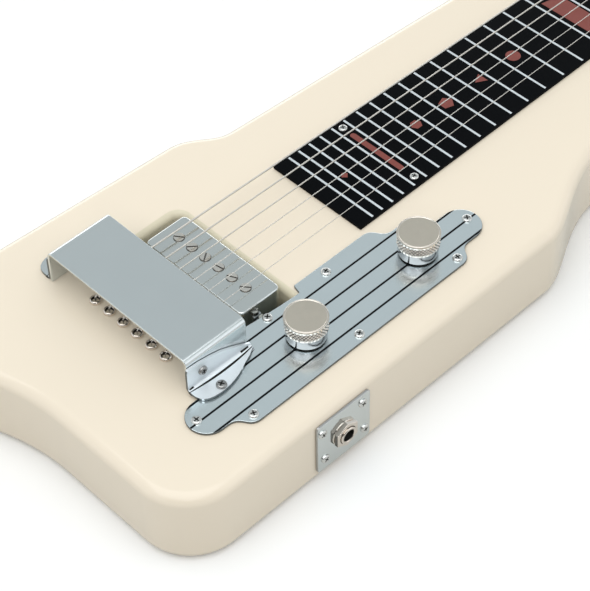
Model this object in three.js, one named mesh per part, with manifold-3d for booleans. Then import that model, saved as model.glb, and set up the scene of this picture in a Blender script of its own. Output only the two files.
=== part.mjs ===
// A six-string lap steel guitar in millimetres, lying on its flat back.
// While it is built, x = 0 is the bridge saddle, y = 0 the fretboard's centre line and z = 0 the body's
// top face. +x runs to the nut, +y to the bass side. The last lines move the whole guitar so that its
// origin is the middle of the underside of its bounding box.

import * as THREE from 'three';
import { mergeVertices } from 'three/addons/utils/BufferGeometryUtils.js';
import Module from 'manifold-3d';

const wasm = await Module();
wasm.setup();

// Clearances that every fit shares
const seatGap = 0.3;
const cutOverrun = 1;

// Strings, from the thin treble string to the thick bass string
const stringGauges = [0.43, 0.51, 0.61, 0.81, 1.02, 1.32];
const scaleLength = 571.5;
const stringHeight = 9.5;
const stringOffset = 1.2;
const saddleSpacing = 9.8;
const nutSpacing = 7;
const windingGap = 0.5;
const ballRadius = 2;
const ballLength = 3.6;

// Body slab: one solid plank of wood with the neck and the head
const bodyThickness = 44.5;
const edgeRound = 6;
const trebleReach = 96.6;
const tailReach = 70.7;
const tailCornerRadius = 28;
const tailCurveStart = 15;
const hornReach = 95.5;
const hornHeight = 60;
const hornTop = 88.8;
const hornRun = 19.5;
const trebleShoulderStart = 166;
const trebleShoulderRun = 66;
const trebleShoulderDrop = 23.4;
const bassShoulderStart = 80;
const bassShoulderRun = 28;
const bassShoulderDrop = 13.4;
const bassShoulderReach = 80.5;
const neckSeam = 150;
const neckEndReach = 582;
const neckEndHalf = 43;
const neckEndRound = 9;

// Head: a thinner slab with the tuning machines under it
const headLength = 130;
const headDrop = 12;
const headThickness = 16;
const headRound = 3;
const headTipHalf = 39;
const headCornerRadius = 14;
const headRoot = 20;

// Fretboard and nut
const boardStart = 104;
const boardThickness = 1.6;
const boardBridgeHalf = 29.9;
const boardNutHalf = 25.4;
const nutLength = 5.5;
const nutCrown = 1;

// Bridge under its cover
const bridgeLength = 18;
const bridgePlate = 1.6;
const bridgeOverhang = 5;
const saddleRadius = 2.2;
const ridgeTopHalf = 3.4;
const ridgeFootHalf = 5.4;
const coverTail = 21.1;
const coverFront = 15;
const coverHeight = 19.8;
const coverHalf = 46.8;
const coverOffset = 1.5;
const coverWall = 1.2;
const coverBend = 3.2;

// Folded leaf brackets that hold the cover
const bracketLength = 37;
const bracketReach = 12.2;
const bracketThickness = 1.2;
const bracketHole = 1.6;
const bracketHoleRun = 11.6;
const bracketFootHole = 8.2;
const bracketWallHole = 7.2;
const footTailShare = 0.5;
const wallTailShare = 0.97;
const leafShares = [[0.18, 1.08], [0.4, 0.98], [0.62, 0.88], [0.86, 0.42], [1, 0.14]];

// String ferrules in the top and the anchor strip in the back
const ferruleSetback = 14.5;
const ferruleSpacing = 9.7;
const ferruleFlange = 3;
const ferruleShank = 2.1;
const ferruleBore = 1.4;
const ferruleDome = 1.5;
const ferruleCrownShare = 0.93;
const ferruleShoulderShare = 0.55;
const ferruleDepth = 6;
const anchorWidth = 13;
const anchorThickness = 2.5;
const anchorMargin = 7;
const anchorCorner = 4.3;
const ballPocket = 2.8;
const ballPocketDepth = 5.5;

// Pickup
const pickupCentre = 36.6;
const pickupOffset = 0.5;
const pickupWidth = 24;
const pickupLength = 65.9;
const pickupTop = 5.6;
const pickupDepth = 18;
const pickupWall = 0.8;
const pickupCorner = 3;
const poleSpacing = 9.15;
const poleHeadRadius = 2.6;
const poleHeadHeight = 1.2;
const poleChamfer = 0.4;
const poleRadius = 1.3;
const poleLength = 15;
const poleSlotWidth = 0.8;
const poleSlotDepth = 0.6;
const coilFlange = 1.5;
const coilHeight = 11;
const cradleWidth = 4.6;
const cradleShift = -2.4;
const cradleThickness = 0.8;
const earReach = 4.1;
const earDrop = 3.6;
const earScrewSetout = 2.95;
const earScrewRadius = 0.8;
const earScrewHead = 1.9;
const earScrewHeadHeight = 1.5;
const earScrewGrip = 5;
const springWire = 0.4;
const springRadius = 1.3;
const springCurls = 4;

// Cavities in the body
const recessLength = 31.8;
const recessBass = 41.6;
const recessTreble = 39.6;
const recessDepth = 27;
const recessBassCorner = 6.5;
const recessTrebleCorner = 2.2;
const recessLip = 2.5;
const controlCavityStart = 4;
const controlCavityEnd = 132;
const controlCavityNear = 46;
const controlCavityFar = 71;
const controlCavityDepth = 36;
const controlCavityCorner = 7;
const wireChannelRadius = 1.6;

// Control plate with its four engraved stripes
const plateThickness = 1.2;
const stripeStart = 43.5;
const stripePitch = 9.3;
const stripeWidth = 1.1;
const stripeDepth = 0.5;
const plateTail = 35;
const plateEnd = 149.6;
const tongueHalf = 10.1;
const plateNearEdge = 33.6;
const plateShelfEdge = 41.6;
const plateFarEdge = 80.1;
const plateNotchEnd = 54.5;
const plateNotchLean = 1.3;
const plateNotchEdge = 38.7;
const plateNotchBend = 36;
const plateNotchBendEdge = 38.1;
const plateNotchTail = 13;
const plateNotchTailEdge = 34.9;
const plateStepRun = 13;
const stepEaseShare = 0.23;
const plateFarTail = 9;
const plateFarEnd = 121;
const plateNearTail = 6;
const plateShelfStart = 101;
const plateShelfEnd = 119;

// Knobs and potentiometers
const volumeAt = 38.3;
const toneAt = 111.9;
const knobRow = 59.9;
const knobTopRadius = 10.5;
const knobFootRadius = 9.7;
const knobHeight = 13.4;
const knobRim = 0.8;
const knobGroove = 0.35;
const knobKnurl = 6;
const knobGrooveDepth = 0.5;
const knobRimShares = { foot: 0.12, edge: 0.33, shoulder: 0.25, lip: 0.8 };
const knobRecessRadius = 7;
const knobRecessDepth = 6;
const shaftRadius = 3;
const shaftCap = 1.5;
const bushingRadius = 4.7;
const bushingHeight = 5;
const potRadius = 10;
const potHeight = 10;
const potEdge = 1;
const shaftDepth = 7;
const capacitorRadius = 3.5;
const capacitorLength = 16;

// Jack
const jackPlateStart = 7.2;
const jackPlateWidth = 33.3;
const jackPlateTop = 6;
const jackPlateHeight = 31.5;
const jackPlateThickness = 1.2;
const jackPlateCorner = 1.5;
const jackBarrelRadius = 4.6;
const jackBoreRadius = 3.3;
const jackStand = 3.3;
const jackHousingRadius = 7.5;
const jackHousingLength = 14;
const jackBoreDepth = 26;
const jackTailRadius = 4.6;
const jackTailLength = 5;
const jackNutHalf = 6.4;
const jackNutHeight = 2.2;
const jackHoleRadius = 9.5;

// Tuning machines, three on each side
const postInset = 24;
const postPitch = 38;
const postReach = 27;
const postRadius = 3;
const postWaist = 2.4;
const postTop = 4;
const postCap = 2.5;
const postFlare = 0.6;
const postHole = 0.8;
const windingTurns = 2;
const windingTop = -0.6;
const gearTeeth = 14;
const gearPitchRadius = 6;
const gearThickness = 3;
const wormPitchRadius = 2.5;
const toothTip = 0.55;
const toothRoot = 0.85;
const toothHalf = 0.5;
const toothSlope = 0.2;
const toothFootShare = 1.5;
const wormTurns = 2.5;
const machinePlate = 1.2;
const machineWidth = 19;
const machineMargin = 13;
const machineCorner = 3;
const lugThickness = 1.2;
const lugOffset = 7;
const lugWidth = 6.6;
const keyReach = 24;
const buttonLength = 15;
const buttonHalf = 8;
const buttonThickness = 6;
const buttonWidthShares = [0.34, 0.62, 0.95, 1, 0.93, 0.62];
const buttonThicknessShares = [1, 0.86, 0.7, 0.66, 0.62, 0.4];
const buttonRunShares = [0, 0.16, 0.42, 0.66, 0.88, 1];

// Smoothness of the round forms
const outlineSteps = 6;
const cornerSteps = 2;
const edgeSteps = 3;
const plateSteps = 6;
const leafSteps = 5;
const knobSides = 22;
const bladeSides = 8;
const threadSteps = 8;
const postSides = 10;
const roundSides = 20;
const holeSides = 10;
const smallSides = 8;
const wireSides = 6;
const springSides = 5;
const turnSteps = 12;
const bendSteps = 3;
const crestSteps = 2;
const nutSteps = 4;
const mergeShare = 0.001;

const trebleSide = -1;
const bassSide = 1;
const sides = [trebleSide, bassSide];
const stringCount = stringGauges.length;
const stringNumbers = stringGauges.map((gauge, index) => index + 1);

const chrome = { color: 0xc4cacb, roughness: 0.12, metalness: 1 };
const nickel = { color: 0xb9b3a6, roughness: 0.22, metalness: 1 };
const steel = { color: 0x9ea1a3, roughness: 0.35, metalness: 1 };
const brass = { color: 0xb08d4f, roughness: 0.35, metalness: 1 };
const creamLacquer = { color: 0xefe3cd, roughness: 0.12, metalness: 0 };
const blackLacquer = { color: 0x0d0f10, roughness: 0.3, metalness: 0 };
const brownPlastic = { color: 0x8a4b22, roughness: 0.5, metalness: 0 };
const blackPlastic = { color: 0x17181a, roughness: 0.45, metalness: 0 };

const guitar = new THREE.Group();

// Solids: a mesh geometry becomes a solid for cuts and joins, and comes back as a geometry

function solidOf(geometry) {
  const bare = geometry.clone();
  bare.deleteAttribute('normal');
  bare.deleteAttribute('uv');
  const merged = mergeVertices(bare, seatGap * mergeShare);
  const triangles = merged.index.array;
  const kept = [];
  for (let i = 0; i < triangles.length; i += 3) {
    const [a, b, c] = [triangles[i], triangles[i + 1], triangles[i + 2]];
    if (a !== b && b !== c && c !== a) kept.push(a, b, c);
  }
  const vertProperties = new Float32Array(merged.attributes.position.array);
  return new wasm.Manifold(new wasm.Mesh({ numProp: 3, vertProperties, triVerts: new Uint32Array(kept) }));
}

function geometryOf(solid) {
  const mesh = solid.getMesh();
  const geometry = new THREE.BufferGeometry();
  geometry.setAttribute('position', new THREE.BufferAttribute(new Float32Array(mesh.vertProperties), 3));
  geometry.setIndex(new THREE.BufferAttribute(new Uint32Array(mesh.triVerts), 1));
  return geometry;
}

function joined(...geometries) {
  return geometryOf(geometries.map(solidOf).reduce((whole, next) => whole.add(next)));
}

function carved(geometry, ...cutters) {
  return geometryOf(cutters.map(solidOf).reduce((whole, next) => whole.subtract(next), solidOf(geometry)));
}

function add(name, geometry, finish) {
  const mesh = new THREE.Mesh(geometry, new THREE.MeshStandardMaterial(finish));
  mesh.name = name;
  guitar.add(mesh);
}

// Plain forms

function box(x0, x1, y0, y1, z0, z1) {
  const geometry = new THREE.BoxGeometry(x1 - x0, y1 - y0, z1 - z0);
  return geometry.translate((x0 + x1) / 2, (y0 + y1) / 2, (z0 + z1) / 2);
}

// A straight plate of a drawn outline between two heights
function slab(outline, z0, z1, curveSegments = cornerSteps) {
  const options = { depth: z1 - z0, bevelEnabled: false, curveSegments };
  return new THREE.ExtrudeGeometry(outline, options).translate(0, 0, z0);
}

// The same with a quarter round along both edges
function roundedSlab(outline, z0, z1, round, bevelSegments, curveSegments = cornerSteps) {
  const options = {
    depth: z1 - z0 - 2 * round,
    bevelEnabled: true,
    bevelSize: round,
    bevelThickness: round,
    bevelOffset: -round,
    bevelSegments,
    curveSegments,
  };
  return new THREE.ExtrudeGeometry(outline, options).translate(0, 0, z0 + round);
}

function roundedBlock(x0, x1, y0, y1, radius) {
  const shape = new THREE.Shape();
  shape.moveTo(x0 + radius, y0);
  shape.lineTo(x1 - radius, y0);
  shape.absarc(x1 - radius, y0 + radius, radius, -Math.PI / 2, 0, false);
  shape.lineTo(x1, y1 - radius);
  shape.absarc(x1 - radius, y1 - radius, radius, 0, Math.PI / 2, false);
  shape.lineTo(x0 + radius, y1);
  shape.absarc(x0 + radius, y1 - radius, radius, Math.PI / 2, Math.PI, false);
  shape.lineTo(x0, y0 + radius);
  shape.absarc(x0 + radius, y0 + radius, radius, Math.PI, Math.PI * 1.5, false);
  return shape;
}

function arcPoints(centre, from, to, radius, count) {
  const points = [];
  for (let k = 0; k <= count; k += 1) {
    const angle = from + ((to - from) * k) / count;
    points.push([centre[0] + radius * Math.cos(angle), centre[1] + radius * Math.sin(angle)]);
  }
  return points;
}

// An upright round form turned from [radius, height] points listed from the foot upwards
function turned(x, y, profile, sideCount = roundSides) {
  const points = profile.map(([radius, height]) => new THREE.Vector2(radius, height));
  return new THREE.LatheGeometry(points, sideCount).rotateX(Math.PI / 2).translate(x, y, 0);
}

function peg(x, y, radius, z0, z1, sideCount = holeSides) {
  return turned(x, y, [[0, z0], [radius, z0], [radius, z1], [0, z1]], sideCount);
}

// A round bar along y, from one distance to another, at a place in x and z
function crossPeg(x, z, radius, y0, y1, sideCount = holeSides) {
  const geometry = new THREE.CylinderGeometry(radius, radius, Math.abs(y1 - y0), sideCount);
  return geometry.translate(x, (y0 + y1) / 2, z);
}

// A closed skin over rings that have as many points each, listed the way the skin runs
function loft(rings) {
  const count = rings[0].length;
  const positions = rings.flat().flatMap((point) => [point.x, point.y, point.z]);
  const index = [];
  for (let r = 0; r + 1 < rings.length; r += 1) {
    for (let k = 0; k < count; k += 1) {
      const a = r * count + k;
      const b = r * count + ((k + 1) % count);
      index.push(a, b, b + count, a, b + count, a + count);
    }
  }
  const last = (rings.length - 1) * count;
  for (let k = 1; k + 1 < count; k += 1) {
    index.push(0, k + 1, k);
    index.push(last, last + k, last + k + 1);
  }
  const geometry = new THREE.BufferGeometry();
  geometry.setAttribute('position', new THREE.Float32BufferAttribute(positions, 3));
  geometry.setIndex(index);
  return geometry;
}

// A path that keeps exactly the points it is given, for strings and springs
class Route extends THREE.Curve {
  constructor(points) {
    super();
    this.points = points;
  }

  getPoint(t, target = new THREE.Vector3()) {
    const place = t * (this.points.length - 1);
    const before = Math.min(Math.floor(place), this.points.length - 2);
    return target.lerpVectors(this.points[before], this.points[before + 1], place - before);
  }

  getTangent(t, target = new THREE.Vector3()) {
    const at = Math.round(t * (this.points.length - 1));
    const here = this.points[at];
    const from = this.points[Math.max(at - 1, 0)];
    const to = this.points[Math.min(at + 1, this.points.length - 1)];
    const incoming = here.clone().sub(from).normalize();
    const outgoing = to.clone().sub(here).normalize();
    return target.copy(incoming).add(outgoing).normalize();
  }

  getUtoTmapping(u) {
    return u;
  }
}

// The least free distance from a wound wire to its own other turns, measured on its points
const turnGaps = [];

function leastTurnGap(points, radius, apart) {
  let least = Infinity;
  points.forEach((point, index) => {
    for (const other of points.slice(index + apart)) {
      least = Math.min(least, point.distanceTo(other) - 2 * radius);
    }
  });
  return least;
}

function wire(points, radius, sideCount = wireSides) {
  const section = new THREE.Shape();
  for (let k = 0; k < sideCount; k += 1) {
    const angle = (2 * Math.PI * k) / sideCount;
    const [x, y] = [radius * Math.cos(angle), radius * Math.sin(angle)];
    if (k === 0) section.moveTo(x, y);
    else section.lineTo(x, y);
  }
  const options = { steps: points.length - 1, bevelEnabled: false, extrudePath: new Route(points) };
  return new THREE.ExtrudeGeometry(section, options);
}

// Where the strings run
const nutFace = scaleLength;
const nutBack = nutFace + nutLength;
const headTop = -headDrop;
const headBottom = headTop - headThickness;
const bandCentre = (stringCount + 1) / 2;
const saddleY = (number) => stringOffset + (number - bandCentre) * saddleSpacing;
const nutY = (number) => stringOffset + (number - bandCentre) * nutSpacing;
const ferruleY = (number) => stringOffset + (number - bandCentre) * ferruleSpacing;
const gaugeRadius = (number) => stringGauges[number - 1] / 2;
const heaviestRadius = Math.max(...stringGauges) / 2;
const saddleTop = stringHeight - heaviestRadius - seatGap;
const stringLevel = (number) => saddleTop + seatGap + gaugeRadius(number);

// Strings 1 to 3 run to the treble posts and 6 to 4 to the bass posts, nearest post first
function machineOf(number) {
  const side = number <= stringCount / 2 ? trebleSide : bassSide;
  const place = side === trebleSide ? number - 1 : stringCount - number;
  return { side, x: neckEndReach + postInset + place * postPitch, y: side * postReach };
}

// Body, neck and head

// From the tail along the treble edge to the neck's end, then back along the bass edge to the horn
function bodyOutline() {
  const shape = new THREE.Shape();
  const trebleShoulderShares = [[0.25, 0], [0.55, 0.95], [1, 1]];
  const bassShoulderShares = [[0.65, 0.95], [0.5, 0.15], [0, 0]];
  const hornShares = [[0.87, 1.03], [1.54, 0.55]];
  const tail = -tailReach;
  shape.moveTo(tail, -trebleReach + tailCornerRadius);
  const cornerX = tail + tailCornerRadius;
  const cornerY = -trebleReach + tailCornerRadius;
  shape.absarc(cornerX, cornerY, tailCornerRadius, Math.PI, Math.PI * 1.5, false);
  shape.lineTo(trebleShoulderStart, -trebleReach);
  const treble = trebleShoulderShares.map(([run, drop]) => [
    trebleShoulderStart + run * trebleShoulderRun,
    -trebleReach + drop * trebleShoulderDrop,
  ]);
  shape.bezierCurveTo(...treble.flat());
  shape.lineTo(neckEndReach - neckEndRound, -neckEndHalf);
  shape.quadraticCurveTo(neckEndReach, -neckEndHalf, neckEndReach, -neckEndHalf + neckEndRound);
  shape.lineTo(neckEndReach, neckEndHalf - neckEndRound);
  shape.quadraticCurveTo(neckEndReach, neckEndHalf, neckEndReach - neckEndRound, neckEndHalf);
  shape.lineTo(bassShoulderStart + bassShoulderRun, bassShoulderReach - bassShoulderDrop);
  const bass = bassShoulderShares.map(([run, drop]) => [
    bassShoulderStart + run * bassShoulderRun,
    bassShoulderReach - drop * bassShoulderDrop,
  ]);
  shape.bezierCurveTo(...bass.flat());
  const hornStart = hornRun - hornReach;
  shape.lineTo(hornStart, hornTop);
  const horn = hornShares.map(([run, rise]) => [
    hornStart - run * hornRun,
    hornHeight + rise * (hornTop - hornHeight),
  ]);
  shape.bezierCurveTo(...horn.flat(), -hornReach, hornHeight);
  const curveMiddle = (hornHeight - tailCurveStart) / 2;
  shape.quadraticCurveTo(tail, curveMiddle, tail, -tailCurveStart);
  return shape;
}

function headOutline() {
  const shape = new THREE.Shape();
  const tip = neckEndReach + headLength;
  const root = neckEndReach - headRoot;
  const rootHalf = neckEndHalf - neckEndRound / 2;
  shape.moveTo(root, -rootHalf);
  shape.lineTo(tip - headCornerRadius, -headTipHalf);
  shape.quadraticCurveTo(tip, -headTipHalf, tip, -headTipHalf + headCornerRadius);
  shape.lineTo(tip, headTipHalf - headCornerRadius);
  shape.quadraticCurveTo(tip, headTipHalf, tip - headCornerRadius, headTipHalf);
  shape.lineTo(root, rootHalf);
  return shape;
}

const cradleX = pickupCentre + cradleShift;
const pickupEndY = (side) => pickupOffset + side * (pickupLength / 2);
const earScrewY = (side) => pickupEndY(side) + side * earScrewSetout;
const jackX = jackPlateStart + jackPlateWidth / 2;
const jackZ = -jackPlateTop - jackPlateHeight / 2;
const ferruleX = -ferruleSetback;
const cavityStart = pickupCentre - recessLength / 2;
const cavityEnd = pickupCentre + recessLength / 2;
const anchorHalf = ((stringCount - 1) / 2) * ferruleSpacing + anchorMargin;

// The pickup recess at one height, grown outward by a distance
function recessLevel(grow, z) {
  const [x0, x1] = [cavityStart - grow, cavityEnd + grow];
  const [y0, y1] = [-recessTreble - grow, recessBass + grow];
  const [treble, bass] = [recessTrebleCorner + grow, recessBassCorner + grow];
  const corners = [
    [x0 + treble, y0 + treble, treble, Math.PI],
    [x1 - treble, y0 + treble, treble, -Math.PI / 2],
    [x1 - bass, y1 - bass, bass, 0],
    [x0 + bass, y1 - bass, bass, Math.PI / 2],
  ];
  return corners.flatMap(([x, y, radius, from]) => {
    const points = arcPoints([x, y], from, from + Math.PI / 2, radius, edgeSteps);
    return points.map(([px, py]) => new THREE.Vector3(px, py, z));
  });
}

// Straight walls up to a lip that rounds outward into the top
function buildRecess() {
  const lip = arcPoints([recessLip, -recessLip], Math.PI, Math.PI / 2, recessLip, edgeSteps);
  const levels = [[0, -recessDepth], ...lip, [recessLip, cutOverrun]];
  return loft(levels.map(([grow, z]) => recessLevel(grow, z)));
}

function buildBody() {
  const main = roundedSlab(bodyOutline(), -bodyThickness, 0, edgeRound, edgeSteps, outlineSteps);
  const head = roundedSlab(headOutline(), headBottom, headTop, headRound, cornerSteps);
  const controlShape = roundedBlock(
    controlCavityStart, controlCavityEnd, -controlCavityFar, -controlCavityNear, controlCavityCorner,
  );
  const channelZ = -(recessDepth + wireChannelRadius) / 2;
  const cutters = [
    buildRecess(),
    slab(controlShape, -controlCavityDepth, cutOverrun),
    crossPeg(cavityEnd - recessBassCorner - wireChannelRadius, channelZ, wireChannelRadius,
      -controlCavityNear - cutOverrun, -recessTreble + cutOverrun, smallSides),
    crossPeg(jackX, jackZ, jackHoleRadius, -trebleReach - cutOverrun, -controlCavityFar + cutOverrun),
    slab(anchorRecess(), -bodyThickness - cutOverrun, anchorFloor),
  ];
  for (const number of stringNumbers) {
    const y = ferruleY(number);
    cutters.push(peg(ferruleX, y, ferruleShank + seatGap, -ferruleDepth - seatGap, cutOverrun));
    cutters.push(peg(ferruleX, y, ferruleBore, -bodyThickness, 0, smallSides));
    const machine = machineOf(number);
    cutters.push(peg(machine.x, machine.y, postRadius + seatGap, headBottom - cutOverrun, cutOverrun));
  }
  for (const side of sides) {
    cutters.push(peg(cradleX, earScrewY(side), earScrewRadius + seatGap,
      -recessDepth - earScrewGrip - seatGap, -recessDepth + cutOverrun, smallSides));
  }
  return carved(joined(main, head), ...cutters);
}

// Anchor strip let into the back, with a pocket for each string's ball

const anchorFloor = -bodyThickness + anchorThickness + ballPocketDepth;

function anchorRecess() {
  return roundedBlock(
    ferruleX - anchorWidth / 2 - seatGap, ferruleX + anchorWidth / 2 + seatGap,
    stringOffset - anchorHalf - seatGap, stringOffset + anchorHalf + seatGap, anchorCorner,
  );
}

function buildAnchor() {
  const outline = roundedBlock(
    ferruleX - anchorWidth / 2, ferruleX + anchorWidth / 2,
    stringOffset - anchorHalf, stringOffset + anchorHalf, anchorCorner - seatGap,
  );
  const base = anchorFloor - seatGap - anchorThickness - ballPocketDepth + seatGap * 2;
  const pocketTop = base + ballPocketDepth - seatGap;
  const strip = slab(outline, base, anchorFloor - seatGap);
  const cutters = stringNumbers.flatMap((number) => [
    peg(ferruleX, ferruleY(number), ferruleBore, base - cutOverrun, anchorFloor + cutOverrun, smallSides),
    peg(ferruleX, ferruleY(number), ballPocket, base - cutOverrun, pocketTop, smallSides),
  ]);
  return { geometry: carved(strip, ...cutters), pocketTop };
}

// The plank is modelled in two lengths, the body and the neck, which meet with a hair's gap
function plankWithout(plank, x0, x1) {
  return carved(plank, box(x0, x1, -trebleReach - cutOverrun, hornTop + cutOverrun,
    -bodyThickness - cutOverrun, cutOverrun));
}

const plank = buildBody();
const headEnd = neckEndReach + headLength;
add('body', plankWithout(plank, neckSeam, headEnd + cutOverrun), creamLacquer);
add('neck', plankWithout(plank, -hornReach - hornRun, neckSeam + seatGap), creamLacquer);
const anchor = buildAnchor();
add('string_anchor', anchor.geometry, nickel);

// Fretboard and nut

function boardHalfAt(x) {
  const along = (x - boardStart) / (nutFace - boardStart);
  return boardBridgeHalf + (boardNutHalf - boardBridgeHalf) * along;
}

function buildFretboard() {
  const end = nutFace - seatGap;
  const shape = new THREE.Shape();
  shape.moveTo(boardStart, -boardHalfAt(boardStart));
  shape.lineTo(end, -boardHalfAt(end));
  shape.lineTo(end, boardHalfAt(end));
  shape.lineTo(boardStart, boardHalfAt(boardStart));
  return slab(shape, seatGap, seatGap + boardThickness);
}

// The nut stands on the neck, with a round-bottomed slot for each string
function buildNut() {
  const nutTop = stringHeight + nutCrown;
  const half = boardHalfAt(nutFace);
  const profile = new THREE.Shape();
  profile.moveTo(nutFace, seatGap);
  profile.lineTo(nutBack, seatGap);
  profile.lineTo(nutBack, nutTop - nutCrown);
  profile.quadraticCurveTo(nutBack, nutTop, (nutFace + nutBack) / 2, nutTop);
  profile.lineTo(nutFace, nutTop);
  const options = { depth: 2 * half, bevelEnabled: false, curveSegments: nutSteps };
  const blank = new THREE.ExtrudeGeometry(profile, options).rotateX(Math.PI / 2).translate(0, half, 0);
  const cutters = stringNumbers.flatMap((number) => {
    const width = gaugeRadius(number) + seatGap;
    const level = stringLevel(number);
    const round = new THREE.CylinderGeometry(width, width, nutLength + 2 * cutOverrun, holeSides);
    round.rotateZ(Math.PI / 2).translate((nutFace + nutBack) / 2, nutY(number), level);
    const slot = box(nutFace - cutOverrun, nutBack + cutOverrun,
      nutY(number) - width, nutY(number) + width, level, nutTop + cutOverrun);
    return [round, slot];
  });
  return carved(blank, ...cutters);
}

add('fretboard', buildFretboard(), blackLacquer);
add('nut', buildNut(), nickel);

// Bridge: a pressed channel that holds a round saddle rod

const saddleAxis = saddleTop - saddleRadius;
const bridgeHalf = ((stringCount - 1) / 2) * saddleSpacing + bridgeOverhang;

function buildBridge() {
  const half = bridgeLength / 2;
  const shoulder = saddleAxis - saddleRadius / 2;
  const profile = new THREE.Shape();
  profile.moveTo(-half, seatGap);
  profile.lineTo(half, seatGap);
  profile.lineTo(half, seatGap + bridgePlate);
  profile.lineTo(ridgeFootHalf, seatGap + bridgePlate);
  profile.lineTo(ridgeTopHalf, shoulder);
  profile.lineTo(-ridgeTopHalf, shoulder);
  profile.lineTo(-ridgeFootHalf, seatGap + bridgePlate);
  profile.lineTo(-half, seatGap + bridgePlate);
  const options = { depth: 2 * bridgeHalf, bevelEnabled: false };
  const channel = new THREE.ExtrudeGeometry(profile, options).rotateX(Math.PI / 2);
  channel.translate(0, stringOffset + bridgeHalf, 0);
  const groove = crossPeg(0, saddleAxis, saddleRadius + seatGap,
    stringOffset - bridgeHalf - cutOverrun, stringOffset + bridgeHalf + cutOverrun, roundSides);
  return carved(channel, groove);
}

add('bridge_base', buildBridge(), nickel);
add('bridge_saddle', crossPeg(0, saddleAxis, saddleRadius,
  stringOffset - bridgeHalf + seatGap, stringOffset + bridgeHalf - seatGap, roundSides), steel);

// Cover: one strip bent down at both ends, open to the tail and to the pickup

const coverTreble = coverOffset - coverHalf;
const coverBass = coverOffset + coverHalf;

function buildCover() {
  const innerBend = coverBend - coverWall;
  const top = coverHeight;
  const trebleFoot = plateThickness + 2 * seatGap;
  const section = new THREE.Shape();
  section.moveTo(coverTreble, trebleFoot);
  section.lineTo(coverTreble + coverWall, trebleFoot);
  section.lineTo(coverTreble + coverWall, top - coverBend);
  section.absarc(coverTreble + coverBend, top - coverBend, innerBend, Math.PI, Math.PI / 2, true);
  section.lineTo(coverBass - coverBend, top - coverWall);
  section.absarc(coverBass - coverBend, top - coverBend, innerBend, Math.PI / 2, 0, true);
  section.lineTo(coverBass - coverWall, seatGap);
  section.lineTo(coverBass, seatGap);
  section.lineTo(coverBass, top - coverBend);
  section.absarc(coverBass - coverBend, top - coverBend, coverBend, 0, Math.PI / 2, false);
  section.lineTo(coverTreble + coverBend, top);
  section.absarc(coverTreble + coverBend, top - coverBend, coverBend, Math.PI / 2, Math.PI, false);
  const options = { depth: coverTail + coverFront, bevelEnabled: false, curveSegments: edgeSteps };
  const strip = new THREE.ExtrudeGeometry(section, options);
  return strip.rotateX(Math.PI / 2).rotateZ(Math.PI / 2).translate(-coverTail, 0, 0);
}

add('bridge_cover', buildCover(), chrome);

// Each bracket is a leaf folded along its middle: one half against the cover, the other on the top

function leafOutline(tailShare) {
  const shares = [[0, tailShare], ...leafShares];
  const at = shares.map(([run, rise]) => [run * bracketLength, rise * bracketReach]);
  const middle = at[2];
  const shape = new THREE.Shape();
  shape.moveTo(0, 0);
  shape.lineTo(...at[0]);
  shape.quadraticCurveTo(...at[1], ...middle);
  shape.bezierCurveTo(...at[3], ...at[4], ...at[5]);
  shape.lineTo(bracketLength, 0);
  return shape;
}

function buildBracket(side) {
  const floor = side === trebleSide ? plateThickness + 2 * seatGap : seatGap;
  const face = side === trebleSide ? -coverTreble + seatGap : coverBass + seatGap;
  const foot = slab(leafOutline(footTailShare), 0, bracketThickness, leafSteps);
  const wall = slab(leafOutline(wallTailShare), 0, bracketThickness, leafSteps).rotateX(Math.PI / 2);
  wall.translate(0, bracketThickness, 0);
  const footHole = peg(bracketHoleRun, bracketFootHole, bracketHole,
    -cutOverrun, bracketThickness + cutOverrun, smallSides);
  const wallHole = crossPeg(bracketHoleRun, bracketWallHole, bracketHole,
    -cutOverrun, bracketThickness + cutOverrun, smallSides);
  const leaf = solidOf(carved(joined(foot, wall), footHole, wallHole));
  const placed = leaf.translate([-coverTail, face, floor]);
  return geometryOf(side === trebleSide ? placed.mirror([0, 1, 0]) : placed);
}

add('cover_bracket_treble', buildBracket(trebleSide), chrome);
add('cover_bracket_bass', buildBracket(bassSide), chrome);

// Ferrules: domed rings with a shank that guides each string out of the body

for (const number of stringNumbers) {
  const profile = [
    [ferruleBore, -ferruleDepth],
    [ferruleShank, -ferruleDepth],
    [ferruleShank, seatGap],
    [ferruleFlange, seatGap],
    [ferruleFlange * ferruleCrownShare, seatGap + ferruleDome * ferruleShoulderShare],
    [(ferruleFlange + ferruleBore) / 2, seatGap + ferruleDome],
    [ferruleBore, seatGap + ferruleDome * ferruleShoulderShare],
    [ferruleBore, -ferruleDepth],
  ];
  add(`string_ferrule_${number}`, turned(ferruleX, ferruleY(number), profile, holeSides), nickel);
}

// Pickup: a pressed cover over a coil, six slotted pole screws and a sprung cradle

const pickupFoot = pickupTop - pickupDepth;
const poleY = (number) => stringOffset + (number - bandCentre) * poleSpacing;

function pickupOutline(inset) {
  return roundedBlock(
    pickupCentre - pickupWidth / 2 + inset, pickupCentre + pickupWidth / 2 - inset,
    pickupEndY(trebleSide) + inset, pickupEndY(bassSide) - inset, pickupCorner - inset / 2,
  );
}

function buildPickupCover() {
  const shell = roundedSlab(pickupOutline(0), pickupFoot, pickupTop, pickupWall, cornerSteps);
  const hollow = slab(pickupOutline(pickupWall), pickupFoot - cutOverrun, pickupTop - pickupWall);
  const holes = stringNumbers.map((number) =>
    peg(pickupCentre, poleY(number), poleRadius + seatGap * 2, 0, pickupTop + cutOverrun));
  return carved(shell, hollow, ...holes);
}

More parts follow.
